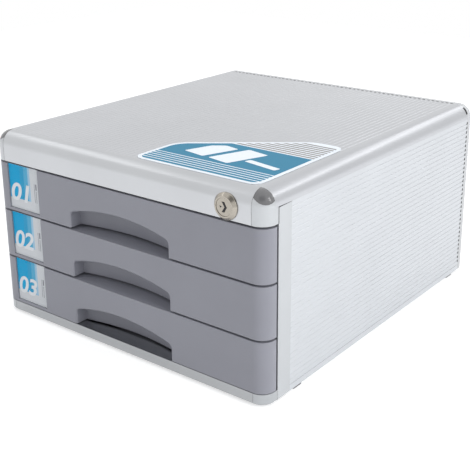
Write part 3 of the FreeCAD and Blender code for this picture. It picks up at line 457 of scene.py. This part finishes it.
def clear_pvc(name):
    """Clear rigid PVC sheet: lets the print through and adds a faint gloss over it."""
    material, tree, output, place = new_material(name)
    ripple = add(tree, "ShaderNodeTexNoise",
                 {"Vector": place, "Scale": cells(12), "Detail": 1.0}).outputs["Fac"]
    bump = add(tree, "ShaderNodeBump", {"Height": ripple, "Strength": 0.05, "Distance": 0.2 * MM})
    clear = add(tree, "ShaderNodeBsdfTransparent", {"Color": colour("#FAFCFC")})
    gloss = add(tree, "ShaderNodeBsdfGlossy", {
        "Roughness": 0.12, "Normal": bump.outputs["Normal"]})
    facing = add(tree, "ShaderNodeLayerWeight", {"Blend": 0.2}).outputs["Facing"]
    glare = add(tree, "ShaderNodeMapRange", {"Value": facing, "To Min": 0.0, "To Max": 0.08})
    shader = add(tree, "ShaderNodeMixShader", {
        0: glare.outputs["Result"], 1: clear.outputs["BSDF"], 2: gloss.outputs["BSDF"]})
    tree.links.new(shader.outputs["Shader"], output.inputs["Surface"])
    return material


def seen_directly(tree):
    """1 for what the camera sees straight, in a reflection or through something clear."""
    ray = add(tree, "ShaderNodeLightPath").outputs
    mirrored = add(tree, "ShaderNodeMath", {0: ray["Is Camera Ray"], 1: ray["Is Glossy Ray"]},
                   operation="MAXIMUM").outputs["Value"]
    return add(tree, "ShaderNodeMath", {0: mirrored, 1: ray["Is Transmission Ray"]},
               operation="MAXIMUM").outputs["Value"]


def give(material, *names):
    """Put one material on whole CAD nodes."""
    for name in names:
        node = NODES[name]
        node.data.materials.clear()
        node.data.materials.append(material)


# Pieces

def new_piece(name, mesh, material, body):
    """Turn a bmesh into a named piece that rides on a body."""
    data = bpy.data.meshes.new(name)
    mesh.to_mesh(data)
    mesh.free()
    piece = bpy.data.objects.new(name, data)
    bpy.context.scene.collection.objects.link(piece)
    data.materials.append(material)
    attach(piece, body)
    return piece


def flat_shape(mesh, points, up):
    """A flat face through corner points that run round it, turned to face a direction."""
    face = mesh.faces.new([mesh.verts.new(point) for point in points])
    face.normal_update()
    if face.normal.dot(Vector(up)) < 0:
        face.normal_flip()
    return face


def flat_patch(mesh, low, high, up):
    """A flat rectangle between opposite corners that lie in one upright or level plane."""
    first, second = [axis for axis in range(3) if low[axis] != high[axis]]
    points = []
    for across, along in ((low, low), (high, low), (high, high), (low, high)):
        point = list(low)
        point[first] = across[first]
        point[second] = along[second]
        points.append(point)
    return flat_shape(mesh, points, up)


class FILEDRAWER_OT_case(bpy.types.Operator):
    """Give the cover, panels, beams, corners, back and feet of the case their finishes"""
    bl_idname = "filedrawer.case"
    bl_label = "Finish the Case"

    def execute(self, context):
        tints = context.scene.file_drawer_colours
        # The cover is a darker copy of the panels' aluminium: painted shade on the top.
        cover = anodised_aluminium("anodised_aluminium_cover", tints.cover, along=1)
        panels = anodised_aluminium("anodised_aluminium_panel", tints.panel, along=1)
        beam = anodised_aluminium("anodised_aluminium_beam", tints.beam, along=0)
        # The base beam and the base corners are darker copies of the aluminium and the silver
        # paint above them: painted shade.
        base = anodised_aluminium("anodised_aluminium_base_shaded", tints.base, along=0)
        paint = silver_paint("silver_painted_abs", tints.silver)
        shaded_paint = silver_paint("silver_painted_abs_shaded", tints.base_corner)
        pale = moulded_plastic("pale_grey_abs", tints.frame, 0.4, 0.9, 0.04)
        glossy = moulded_plastic("glossy_grey_abs", tints.cap, 0.2, 1.5, 0.01, coat=1.0)
        inner = moulded_plastic("dark_grey_polystyrene", tints.inner, 0.55, 0.7, 0.08)
        ground = moulded_plastic("mid_grey_polystyrene", tints.drawer, 0.5, 0.8, 0.06)
        steel = plated_steel("zinc_plated_steel", tints.zinc, 0.38)
        rubber = moulded_rubber("moulded_rubber", tints.rubber)
        give(cover, "top_cover")
        give(panels, "side_panel_right", "side_panel_left", "bottom_rail_right",
             "bottom_rail_left")
        give(beam, "front_beam")
        give(base, "base_beam")
        give(paint, "front_stile_right", "front_stile_left", "front_corner_right",
             "front_corner_left")
        give(shaded_paint, "base_corner_right", "base_corner_left")
        give(pale, "rear_frame")
        give(glossy, "corner_cap_right", "corner_cap_left")
        give(inner, "rear_panel", "runner_right", "runner_left", "bar_guide_upper",
             "bar_guide_lower")
        give(ground, "base_plate")
        give(steel, "rear_screws")
        give(rubber, "foot_front_right", "foot_front_left", "foot_rear_right", "foot_rear_left")
        return {"FINISHED"}


class FILEDRAWER_OT_joints(bpy.types.Operator):
    """Paint the shade in the joints, the seams and the open ends of the ribs as thin dark pieces
    """
    bl_idname = "filedrawer.joints"
    bl_label = "Draw the Joints"

    def execute(self, context):
        sizes = context.scene.file_drawer_sizes
        tints = context.scene.file_drawer_colours
        # The joints are open, and a matt dark face stands for the shadow in them.
        dark = moulded_rubber("joint_painted_shade", tints.joint)
        for side, hand in ((1, "right"), (-1, "left")):
            self.upright_joint(side, hand, sizes, dark)
            self.corner_joint(side, hand, sizes, dark)
            self.low_joints(side, hand, sizes, dark)
        self.rib_end_shadows(sizes, dark)
        return {"FINISHED"}

    def upright_joint(self, side, hand, sizes, dark):
        """Painted shade of the open joint: up between corner and upright, then back under the
        cover, where it thins out.
        """
        low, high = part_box(f"front_stile_{hand}")
        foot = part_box(f"front_corner_{hand}")[0].z
        across = high.x + sizes.print_lift if side > 0 else low.x - sizes.print_lift
        half = sizes.joint_width / 2
        thin = sizes.seam_width / 2
        mesh = bmesh.new()
        outline = ((low.y - half, foot), (low.y + half, foot), (low.y + half, high.z - half),
                   (high.y, high.z - thin), (high.y, high.z + thin),
                   (low.y - half, high.z + half))
        flat_shape(mesh, [(across, y, z) for y, z in outline], (side, 0, 0))
        new_piece(f"upright_joint_{hand}", mesh, dark, "case")

    def corner_joint(self, side, hand, sizes, dark):
        """Painted shade of the joint: up the front face between beam and corner, then over the
        rounded edge.
        """
        low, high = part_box("front_beam")
        across = side * high.x
        half = sizes.seam_width / 2
        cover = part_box("top_cover")[0].y
        radius = cover - low.y
        mesh = bmesh.new()
        front = low.y - sizes.print_lift
        foot = [mesh.verts.new((across + step, front, low.z)) for step in (-half, half)]
        edge = mesh.edges.new(foot)
        made = bmesh.ops.extrude_edge_only(mesh, edges=[edge])["geom"]
        top = [v for v in made if isinstance(v, bmesh.types.BMVert)]
        bmesh.ops.translate(mesh, verts=top, vec=(0, 0, high.z - radius - low.z))
        rim = [e for e in made if isinstance(e, bmesh.types.BMEdge)
               and all(v in top for v in e.verts)]
        bmesh.ops.spin(mesh, geom=top + rim, cent=(across, cover, high.z - radius),
                       axis=(1, 0, 0), angle=-pi / 2, steps=10)
        bmesh.ops.recalc_face_normals(mesh, faces=mesh.faces[:])
        mesh.faces.ensure_lookup_table()
        if mesh.faces[0].normal.y > 0:
            bmesh.ops.reverse_faces(mesh, faces=mesh.faces[:])
        new_piece(f"corner_joint_{hand}", mesh, dark, "case")

    def low_joints(self, side, hand, sizes, dark):
        """Fine dark lines of painted shade at both ends of the base corner, and along the top of
        the bottom rail.
        """
        low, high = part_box(f"base_corner_{hand}")
        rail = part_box(f"bottom_rail_{hand}")
        half = sizes.seam_width / 2
        inner, outer = (low.x, high.x) if side > 0 else (high.x, low.x)
        out = outer + side * sizes.print_lift
        front = low.y - sizes.print_lift
        mesh = bmesh.new()
        flat_patch(mesh, (inner - half, front, low.z + BASE_ROUND),
                   (inner + half, front, high.z - BASE_LIP), (0, -1, 0))
        flat_patch(mesh, (out, high.y - half, low.z + BASE_LIP), (out, high.y + half, high.z),
                   (side, 0, 0))
        flat_patch(mesh, (out, rail[0].y, rail[1].z - half), (out, rail[1].y, rail[1].z + half),
                   (side, 0, 0))
        new_piece(f"low_joints_{hand}", mesh, dark, "case")

    def rib_end_shadows(self, sizes, dark):
        """The shade in the open ends of the ribs, painted as a row of dark dashes along the rear
        frame.
        """
        low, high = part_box("top_cover")
        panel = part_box("side_panel_right")
        near, far = high.y - 0.8 * sizes.rib_opening, high.y + 0.2 * sizes.rib_opening
        level = high.z + sizes.print_lift
        mesh = bmesh.new()
        across = low.x + COVER_RIBS_INSET
        while across < high.x - COVER_RIBS_INSET:
            flat_patch(mesh, (across, near, level), (across + COVER_RIB_OPENING, far, level),
                       (0, 0, 1))
            across += COVER_RIB
        for side in (1, -1):
            out = side * (panel[1].x + sizes.print_lift)
            up = panel[0].z + PANEL_RIBS_INSET
            while up < panel[1].z - PANEL_RIBS_INSET:
                flat_patch(mesh, (out, near, up), (out, far, up + PANEL_RIB_OPENING),
                           (side, 0, 0))
                up += PANEL_RIB
            self.edge_hollow_shadow(mesh, side, high, sizes)
        new_piece("rib_end_shadows", mesh, dark, "case")

    def edge_hollow_shadow(self, mesh, side, high, sizes):
        """The shade in the end of the hollow in one of the cover's rounded edges, painted as a
        dark arc.
        """
        near, far = high.y - 1.6 * sizes.rib_opening, high.y + 0.2 * sizes.rib_opening
        middle = Vector((side * (high.x - sizes.edge_radius), 0, high.z - sizes.edge_radius))
        reach = sizes.edge_radius + sizes.print_lift
        rim = middle + reach * Vector((side * cos(HOLLOW_START), 0, sin(HOLLOW_START)))
        ends = [mesh.verts.new((rim.x, y, rim.z)) for y in (near, far)]
        edge = mesh.edges.new(ends)
        flat = len(mesh.faces)
        bmesh.ops.spin(mesh, geom=[*ends, edge], cent=middle, axis=(0, 1, 0),
                       angle=-side * HOLLOW_SPAN, steps=6)
        for face in mesh.faces[flat:]:
            face.normal_update()
            if face.normal.dot(Vector((side, 0, 1))) < 0:
                face.normal_flip()


class FILEDRAWER_OT_screws(bpy.types.Operator):
    """Turn the four rear screws' heads, each with a sunk cross"""
    bl_idname = "filedrawer.screws"
    bl_label = "Cut the Rear Screws"

    def execute(self, context):
        sizes = context.scene.file_drawer_sizes
        tints = context.scene.file_drawer_colours
        steel = plated_steel("zinc_plated_screws", tints.zinc, 0.3)
        low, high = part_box("rear_screws")
        radius = sizes.screw_radius
        mesh = self.head(radius, high.y - low.y, sizes.screw_cross)
        bmesh.ops.translate(mesh, verts=mesh.verts[:],
                            vec=(low.x + radius, low.y, low.z + radius))
        for span in ((high.x - low.x - 2 * radius, 0, 0), (0, 0, high.z - low.z - 2 * radius)):
            copy = bmesh.ops.duplicate(mesh, geom=mesh.verts[:] + mesh.edges[:] + mesh.faces[:])
            moved = [v for v in copy["geom"] if isinstance(v, bmesh.types.BMVert)]
            bmesh.ops.translate(mesh, verts=moved, vec=span)
        piece = new_piece("rear_screw_heads", mesh, steel, "case")
        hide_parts("rear_screws")
        return {"FINISHED"}

    def head(self, radius, deep, reach):
        """A disc with a rounded rim and a tapered cross sunk into its face, facing the rear."""
        mesh = bmesh.new()
        bmesh.ops.create_circle(mesh, cap_ends=True, segments=32, radius=radius)
        raised = bmesh.ops.extrude_face_region(mesh, geom=mesh.faces[:])["geom"]
        crown = [v for v in raised if isinstance(v, bmesh.types.BMVert)]
        bmesh.ops.translate(mesh, verts=crown, vec=(0, 0, deep))
        rim = [e for e in mesh.edges if all(v.co.z > deep / 2 for v in e.verts)]
        bmesh.ops.bevel(mesh, geom=rim, offset=0.45 * deep, segments=4, profile=0.5,
                        affect="EDGES", material=-1)
        arm, half = reach / 2, reach / 7
        for normal in ((1, 0, 0), (0, 1, 0)):
            for cut in (-arm, -half, half, arm):
                bmesh.ops.bisect_plane(mesh, geom=mesh.verts[:] + mesh.edges[:] + mesh.faces[:],
                                       plane_co=(cut, cut, 0), plane_no=normal)
        cross = []
        for face in mesh.faces:
            x, y, z = face.calc_center_median()
            if z > 0.99 * deep and max(abs(x), abs(y)) < arm and min(abs(x), abs(y)) < half:
                cross.append(face)
        bmesh.ops.inset_region(mesh, faces=cross, thickness=half / 3, depth=-0.6 * deep,
                               use_boundary=True, use_even_offset=True)
        bmesh.ops.recalc_face_normals(mesh, faces=mesh.faces[:])
        bmesh.ops.rotate(mesh, verts=mesh.verts[:], cent=(0, 0, 0),
                         matrix=Matrix.Rotation(-pi / 2, 3, "X"))
        return mesh


class FILEDRAWER_OT_drawers(bpy.types.Operator):
    """Give the drawer fronts, trays, strips and stops their moulded plastics"""
    bl_idname = "filedrawer.drawers"
    bl_label = "Finish the Drawers"

    def execute(self, context):
        tints = context.scene.file_drawer_colours
        front = moulded_plastic("satin_grey_abs", tints.drawer, 0.42, 0.8, 0.05)
        tray = moulded_plastic("matt_grey_polystyrene", tints.tray, 0.55, 0.9, 0.08)
        catch = plated_steel("zinc_plated_catch", tints.zinc, 0.38)
        for place in DRAWERS:
            give(front, f"drawer_{place}_front")
            give(tray, f"drawer_{place}_tray", f"drawer_{place}_strip_right",
                 f"drawer_{place}_strip_left", f"drawer_{place}_stops")
            give(catch, f"drawer_{place}_catch")
        return {"FINISHED"}


class FILEDRAWER_OT_labels(bpy.types.Operator):
    """Print the cards in the label pockets, with a plain number for each drawer"""
    bl_idname = "filedrawer.labels"
    bl_label = "Print the Labels"

    def execute(self, context):
        tints = context.scene.file_drawer_colours
        sizes = context.scene.file_drawer_sizes
        clear = clear_pvc("clear_rigid_pvc")
        card = printing_ink("coated_card", tints.label_paper, 0.5)
        bands = printed_label("blue_banded_print", tints.label_blue, tints.label_paper)
        white = printing_ink("white_ink", tints.label_figure, 0.4)
        grey = printing_ink("grey_ink", tints.label_grey, 0.4)
        for number, place in enumerate(DRAWERS, 1):
            low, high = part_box(f"drawer_{place}_label_card")
            give(card, f"drawer_{place}_label_card")
            give(clear, f"drawer_{place}_label_cover")
            front = low - Vector((0, sizes.print_lift, 0))
            self.printed_sheet(place, front, high, bands)
            front = low - Vector((0, 2 * sizes.print_lift, 0))
            self.figures(place, f"{number:02d}", front, sizes, white)
            self.ruled_lines(place, front, grey)
        return {"FINISHED"}

    def printed_sheet(self, place, front, high, ink):
        """The inked face of the card, with the map that its bands follow."""
        mesh = bmesh.new()
        mesh.loops.layers.uv.new("print")
        bmesh.ops.create_grid(mesh, x_segments=1, y_segments=1, size=0.5, calc_uvs=True)
        bmesh.ops.translate(mesh, verts=mesh.verts[:], vec=(0.5, 0.5, 0))
        bmesh.ops.rotate(mesh, verts=mesh.verts[:], cent=(0, 0, 0),
                         matrix=Matrix.Rotation(pi / 2, 3, "X"))
        bmesh.ops.scale(mesh, verts=mesh.verts[:],
                        vec=(high.x - front.x, 1, high.z - front.z))
        bmesh.ops.translate(mesh, verts=mesh.verts[:], vec=front)
        new_piece(f"label_{place}_print", mesh, ink, f"drawer_{place}")

    def figures(self, place, text, front, sizes, ink):
        """The drawer's number in broad slanted figures."""
        words = bpy.data.curves.new("figures", "FONT")
        words.body = text
        words.shear = 0.2
        words.offset = 0.025
        shape = bpy.data.objects.new("figures", words)
        bpy.context.scene.collection.objects.link(shape)
        bpy.context.view_layer.update()
        data = bpy.data.meshes.new_from_object(shape)
        bpy.data.objects.remove(shape)
        mesh = bmesh.new()
        mesh.from_mesh(data)
        bmesh.ops.remove_doubles(mesh, verts=mesh.verts[:], dist=1e-5)
        across = [v.co.x for v in mesh.verts]
        up = [v.co.y for v in mesh.verts]
        wide = sizes.number_width / (max(across) - min(across))
        tall = sizes.number_height / (max(up) - min(up))
        bmesh.ops.translate(mesh, verts=mesh.verts[:], vec=(-min(across), -min(up), 0))
        bmesh.ops.scale(mesh, verts=mesh.verts[:], vec=(wide, tall, 1))
        bmesh.ops.rotate(mesh, verts=mesh.verts[:], cent=(0, 0, 0),
                         matrix=Matrix.Rotation(pi / 2, 3, "X"))
        bmesh.ops.translate(mesh, verts=mesh.verts[:],
                            vec=front + Vector((sizes.number_inset, 0, sizes.number_rise)))
        for face in mesh.faces:
            face.normal_update()
            if face.normal.y > 0:
                face.normal_flip()
        new_piece(f"label_{place}_number", mesh, ink, f"drawer_{place}")

    def ruled_lines(self, place, front, ink):
        """Upright ruled lines on the bare paper, with a bolder start at their upper end."""
        mesh = bmesh.new()
        for left, wide, foot, tall in LABEL_LINES:
            low = front + Vector((left, 0, foot)) * MM
            flat_patch(mesh, low, low + Vector((wide, 0, tall)) * MM, (0, -1, 0))
        new_piece(f"label_{place}_lines", mesh, ink, f"drawer_{place}")


class FILEDRAWER_OT_badge(bpy.types.Operator):
    """Print the badge on top: pale border, blue field, stripes and two sheets of paper"""
    bl_idname = "filedrawer.badge"
    bl_label = "Print the Badge"

    def execute(self, context):
        tints = context.scene.file_drawer_colours
        sizes = context.scene.file_drawer_sizes
        rim = printing_ink("white_badge_film", tints.badge_rim, 0.5)
        blue = printing_ink("blue_screen_ink", tints.badge_blue, 0.5)
        white = printing_ink("white_screen_ink", tints.badge_rim, 0.5)
        grey = printing_ink("grey_screen_ink", tints.badge_grey, 0.5)
        give(rim, "top_sticker")
        low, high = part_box("top_sticker")
        near = low.y
        lift = sizes.print_lift
        self.keep("badge_field", self.field(sizes, lift), blue)
        for name, layer, first, pitch, count, deep, ink in BADGE_BANDS:
            starts = [near + (first + pitch * step) * MM for step in range(count)]
            mesh = self.bands(sizes, layer * lift, starts, deep * MM)
            self.keep(name, mesh, {"white": white, "grey": grey}[ink])
        self.keep("badge_sheets", self.sheets(low, high, 3 * lift), white)
        return {"FINISHED"}

    def keep(self, name, mesh, ink):
        """A finished layer of the badge, as a piece of the case."""
        new_piece(name, mesh, ink, "case")

    def field(self, sizes, lift):
        """The top face of the badge, drawn in by its border."""
        mesh = bmesh.new()
        mesh.from_mesh(NODES["top_sticker"].data)
        bmesh.ops.remove_doubles(mesh, verts=mesh.verts[:], dist=1e-6)
        level = max(v.co.z for v in mesh.verts)
        spare = [f for f in mesh.faces if min(v.co.z for v in f.verts) < level - 0.05 * MM]
        bmesh.ops.delete(mesh, geom=spare, context="FACES")
        bmesh.ops.dissolve_limit(mesh, angle_limit=radians(1), verts=mesh.verts[:],
                                 edges=mesh.edges[:])
        made = bmesh.ops.inset_region(mesh, faces=mesh.faces[:], thickness=sizes.badge_border,
                                      use_boundary=True, use_even_offset=True)
        bmesh.ops.delete(mesh, geom=made["faces"], context="FACES")
        bmesh.ops.translate(mesh, verts=mesh.verts[:], vec=(0, 0, lift))
        return mesh

    def bands(self, sizes, lift, starts, deep):
        """Stripes across the field, parallel to the front, each of the same depth."""
        mesh = self.field(sizes, lift)
        for start in starts:
            for cut in (start, start + deep):
                bmesh.ops.bisect_plane(
                    mesh, geom=mesh.verts[:] + mesh.edges[:] + mesh.faces[:],
                    plane_co=(0, cut, 0), plane_no=(0, 1, 0))
        spare = []
        for face in mesh.faces:
            middle = face.calc_center_bounds().y
            if not any(start < middle < start + deep for start in starts):
                spare.append(face)
        bmesh.ops.delete(mesh, geom=spare, context="FACES")
        return mesh

    def sheets(self, low, high, lift):
        """Two slanted sheets of paper, one with a folded corner, and a bar beside them."""
        mesh = bmesh.new()
        for outline in BADGE_SHEETS:
            face = flat_shape(mesh, [(low.x + x * MM, low.y + y * MM, high.z + lift)
                                     for x, y in outline], (0, 0, 1))
            bmesh.ops.bevel(mesh, geom=face.verts[:], offset=BADGE_SHEET_CORNER, segments=3,
                            profile=0.5, affect="VERTICES", material=-1)
        return mesh


class FILEDRAWER_OT_lock(bpy.types.Operator):
    """Plate the cam lock and its bar, and paint the shade in its keyway"""
    bl_idname = "filedrawer.lock"
    bl_label = "Finish the Lock"

    def execute(self, context):
        tints = context.scene.file_drawer_colours
        low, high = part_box("lock_housing")
        centre = ((low.x + high.x) / 2, low.y, (low.z + high.z) / 2)
        nickel = turned_nickel("turned_nickel", tints.nickel, centre)
        steel = plated_steel("zinc_plated_bar", tints.zinc, 0.38)
        give(nickel, "lock_housing", "lock_plug")
        give(steel, "lock_nut", "lock_cam", "lock_cam_screw", "lock_bar")
        self.keyway(tints, context.scene.file_drawer_sizes)
        return {"FINISHED"}

    def keyway(self, tints, sizes):
        """The opening for the key, painted as a flat dark shape of shade: a broad angle with a
        small wedge beside it.
        """
        low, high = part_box("lock_plug")
        middle = (low + high) / 2
        mesh = bmesh.new()
        for outline in KEYWAY:
            flat_shape(mesh, [(middle.x + x * MM, low.y - sizes.print_lift, middle.z + z * MM)
                              for x, z in outline], (0, -1, 0))
        dark = moulded_rubber("keyway_painted_shade", tints.joint)
        new_piece("lock_keyway_shade", mesh, dark, "lock_plug")


class FILEDRAWER_OT_studio(bpy.types.Operator):
    """Set up the pale floor, soft lamps and camera"""
    bl_idname = "filedrawer.studio"
    bl_label = "Set Up the Studio"

    def execute(self, context):
        scene = context.scene
        self.floor(scene)
        self.world(scene)
        self.lamps(scene)
        self.camera(scene)
        scene.view_settings.view_transform = "Standard"
        return {"FINISHED"}

    def floor(self, scene):
        """A level sheet of white paper, which also shows white in metal and keeps shadows."""
        mesh = bmesh.new()
        bmesh.ops.create_grid(mesh, x_segments=8, y_segments=8, size=FLOOR_HALF)
        bmesh.ops.translate(mesh, verts=mesh.verts[:], vec=(0, 0, -FLOOR_DROP))
        data = bpy.data.meshes.new("floor")
        mesh.to_mesh(data)
        mesh.free()
        floor = bpy.data.objects.new("floor", data)
        scene.collection.objects.link(floor)
        material, tree, output, place = new_material("white_paper_sweep")
        seen = seen_directly(tree)
        fibre = add(tree, "ShaderNodeTexNoise",
                    {"Vector": place, "Scale": cells(4), "Detail": 2.0}).outputs["Fac"]
        paper = colour("#E2E2E2")
        shade = add(tree, "ShaderNodeMix", {
            0: fibre, 6: toned(paper, 0.99), 7: toned(paper, 1.01)}, data_type="RGBA")
        matt = add(tree, "ShaderNodeBsdfDiffuse", {"Color": shade.outputs[2]})
        bright = add(tree, "ShaderNodeMapRange", {
            "Value": add(tree, "ShaderNodeLightPath").outputs["Is Camera Ray"],
            "To Min": 0.42, "To Max": 0.5}).outputs["Result"]
        glow = add(tree, "ShaderNodeEmission", {"Color": colour("#FFFFFF"), "Strength": bright})
        dark = add(tree, "ShaderNodeEmission", {"Color": colour("#000000"), "Strength": 0.0})
        lift = add(tree, "ShaderNodeMixShader", {
            0: seen, 1: dark.outputs["Emission"], 2: glow.outputs["Emission"]})
        shader = add(tree, "ShaderNodeAddShader", {
            0: matt.outputs["BSDF"], 1: lift.outputs["Shader"]})
        tree.links.new(shader.outputs["Shader"], output.inputs["Surface"])
        data.materials.append(material)

    def world(self, scene):
        """White where it is seen, and a plain pale room for the light on the object."""
        world = bpy.data.worlds.new("studio")
        scene.world = world
        world.use_nodes = True
        tree = world.node_tree
        tree.nodes.clear()
        output = add(tree, "ShaderNodeOutputWorld")
        seen = seen_directly(tree)
        # A patch of the ceiling towards the front is unlit, which gives the lock its dark arc.
        toward = add(tree, "ShaderNodeVectorMath", {
            0: add(tree, "ShaderNodeTexCoord").outputs["Generated"], 1: UNLIT_CEILING},
            operation="DOT_PRODUCT").outputs["Value"]
        wall = add(tree, "ShaderNodeMapRange", {
            "Value": toward, "From Min": 0.9, "From Max": 0.97, "To Min": 1.0, "To Max": 0.3})
        white = add(tree, "ShaderNodeBackground", {
            "Color": colour("#FFFFFF"), "Strength": wall.outputs["Result"]})
        room = add(tree, "ShaderNodeBackground", {"Color": (0.97, 0.98, 1, 1), "Strength": 0.55})
        mix = add(tree, "ShaderNodeMixShader",
                  {0: seen, 1: room.outputs["Background"], 2: white.outputs["Background"]})
        tree.links.new(mix.outputs["Shader"], output.inputs["Surface"])

    def lamps(self, scene):
        """Soft lamps round the object; only the narrow ones show in polished surfaces."""
        for name, place, size, power, mirrored in LAMPS:
            lamp = bpy.data.lights.new(name, "AREA")
            lamp.shape = "RECTANGLE"
            lamp.size, lamp.size_y = size
            lamp.energy = power
            holder = bpy.data.objects.new(name, lamp)
            scene.collection.objects.link(holder)
            holder.location = place
            aim = LAMPS_AIM - Vector(place)
            holder.rotation_euler = aim.to_track_quat("-Z", "Y").to_euler()
            holder.visible_glossy = mirrored

    def camera(self, scene):
        """Seen from the front right and from above, with a slight roll.

        The shift is kept small, so that the object is whole in the picture from every side.
        """
        camera = bpy.data.cameras.new("camera")
        holder = bpy.data.objects.new("camera", camera)
        scene.collection.objects.link(holder)
        camera.sensor_width = 36
        camera.lens = 72.0
        camera.shift_y = -0.1
        camera.clip_start = 0.01
        camera.clip_end = 50
        turn = (Matrix.Rotation(CAMERA_BEARING, 4, "Z") @ Matrix.Rotation(CAMERA_TILT, 4, "X")
                @ Matrix.Rotation(CAMERA_ROLL, 4, "Z"))
        holder.matrix_world = Matrix.Translation(CAMERA_PLACE) @ turn
        scene.camera = holder


class FILEDRAWER_PT_panel(bpy.types.Panel):
    """Sidebar panel with the settings and the steps of the model"""
    bl_idname = "FILEDRAWER_PT_panel"
    bl_label = "File Drawer"
    bl_space_type = "VIEW_3D"
    bl_region_type = "UI"
    bl_category = "File Drawer"

    def draw(self, context):
        layout = self.layout
        for title, group in (("Colours", context.scene.file_drawer_colours),
                             ("Sizes", context.scene.file_drawer_sizes)):
            box = layout.box()
            box.label(text=title)
            for name in group.__annotations__:
                box.prop(group, name)
        column = layout.column(align=True)
        for operator in STEPS:
            column.operator(operator.bl_idname)


STEPS = (
    FILEDRAWER_OT_case,
    FILEDRAWER_OT_joints,
    FILEDRAWER_OT_screws,
    FILEDRAWER_OT_drawers,
    FILEDRAWER_OT_labels,
    FILEDRAWER_OT_badge,
    FILEDRAWER_OT_lock,
    FILEDRAWER_OT_studio,
)
CLASSES = (FileDrawerColours, FileDrawerSizes, *STEPS, FILEDRAWER_PT_panel)


def register():
    for item in CLASSES:
        bpy.utils.register_class(item)
    bpy.types.Scene.file_drawer_colours = bpy.props.PointerProperty(type=FileDrawerColours)
    bpy.types.Scene.file_drawer_sizes = bpy.props.PointerProperty(type=FileDrawerSizes)


def unregister():
    del bpy.types.Scene.file_drawer_sizes
    del bpy.types.Scene.file_drawer_colours
    for item in reversed(CLASSES):
        bpy.utils.unregister_class(item)


def main():
    register()
    bpy.ops.filedrawer.case()
    bpy.ops.filedrawer.joints()
    bpy.ops.filedrawer.screws()
    bpy.ops.filedrawer.drawers()
    bpy.ops.filedrawer.labels()
    bpy.ops.filedrawer.badge()
    bpy.ops.filedrawer.lock()
    bpy.ops.filedrawer.studio()


if __name__ == "__main__":
    main()
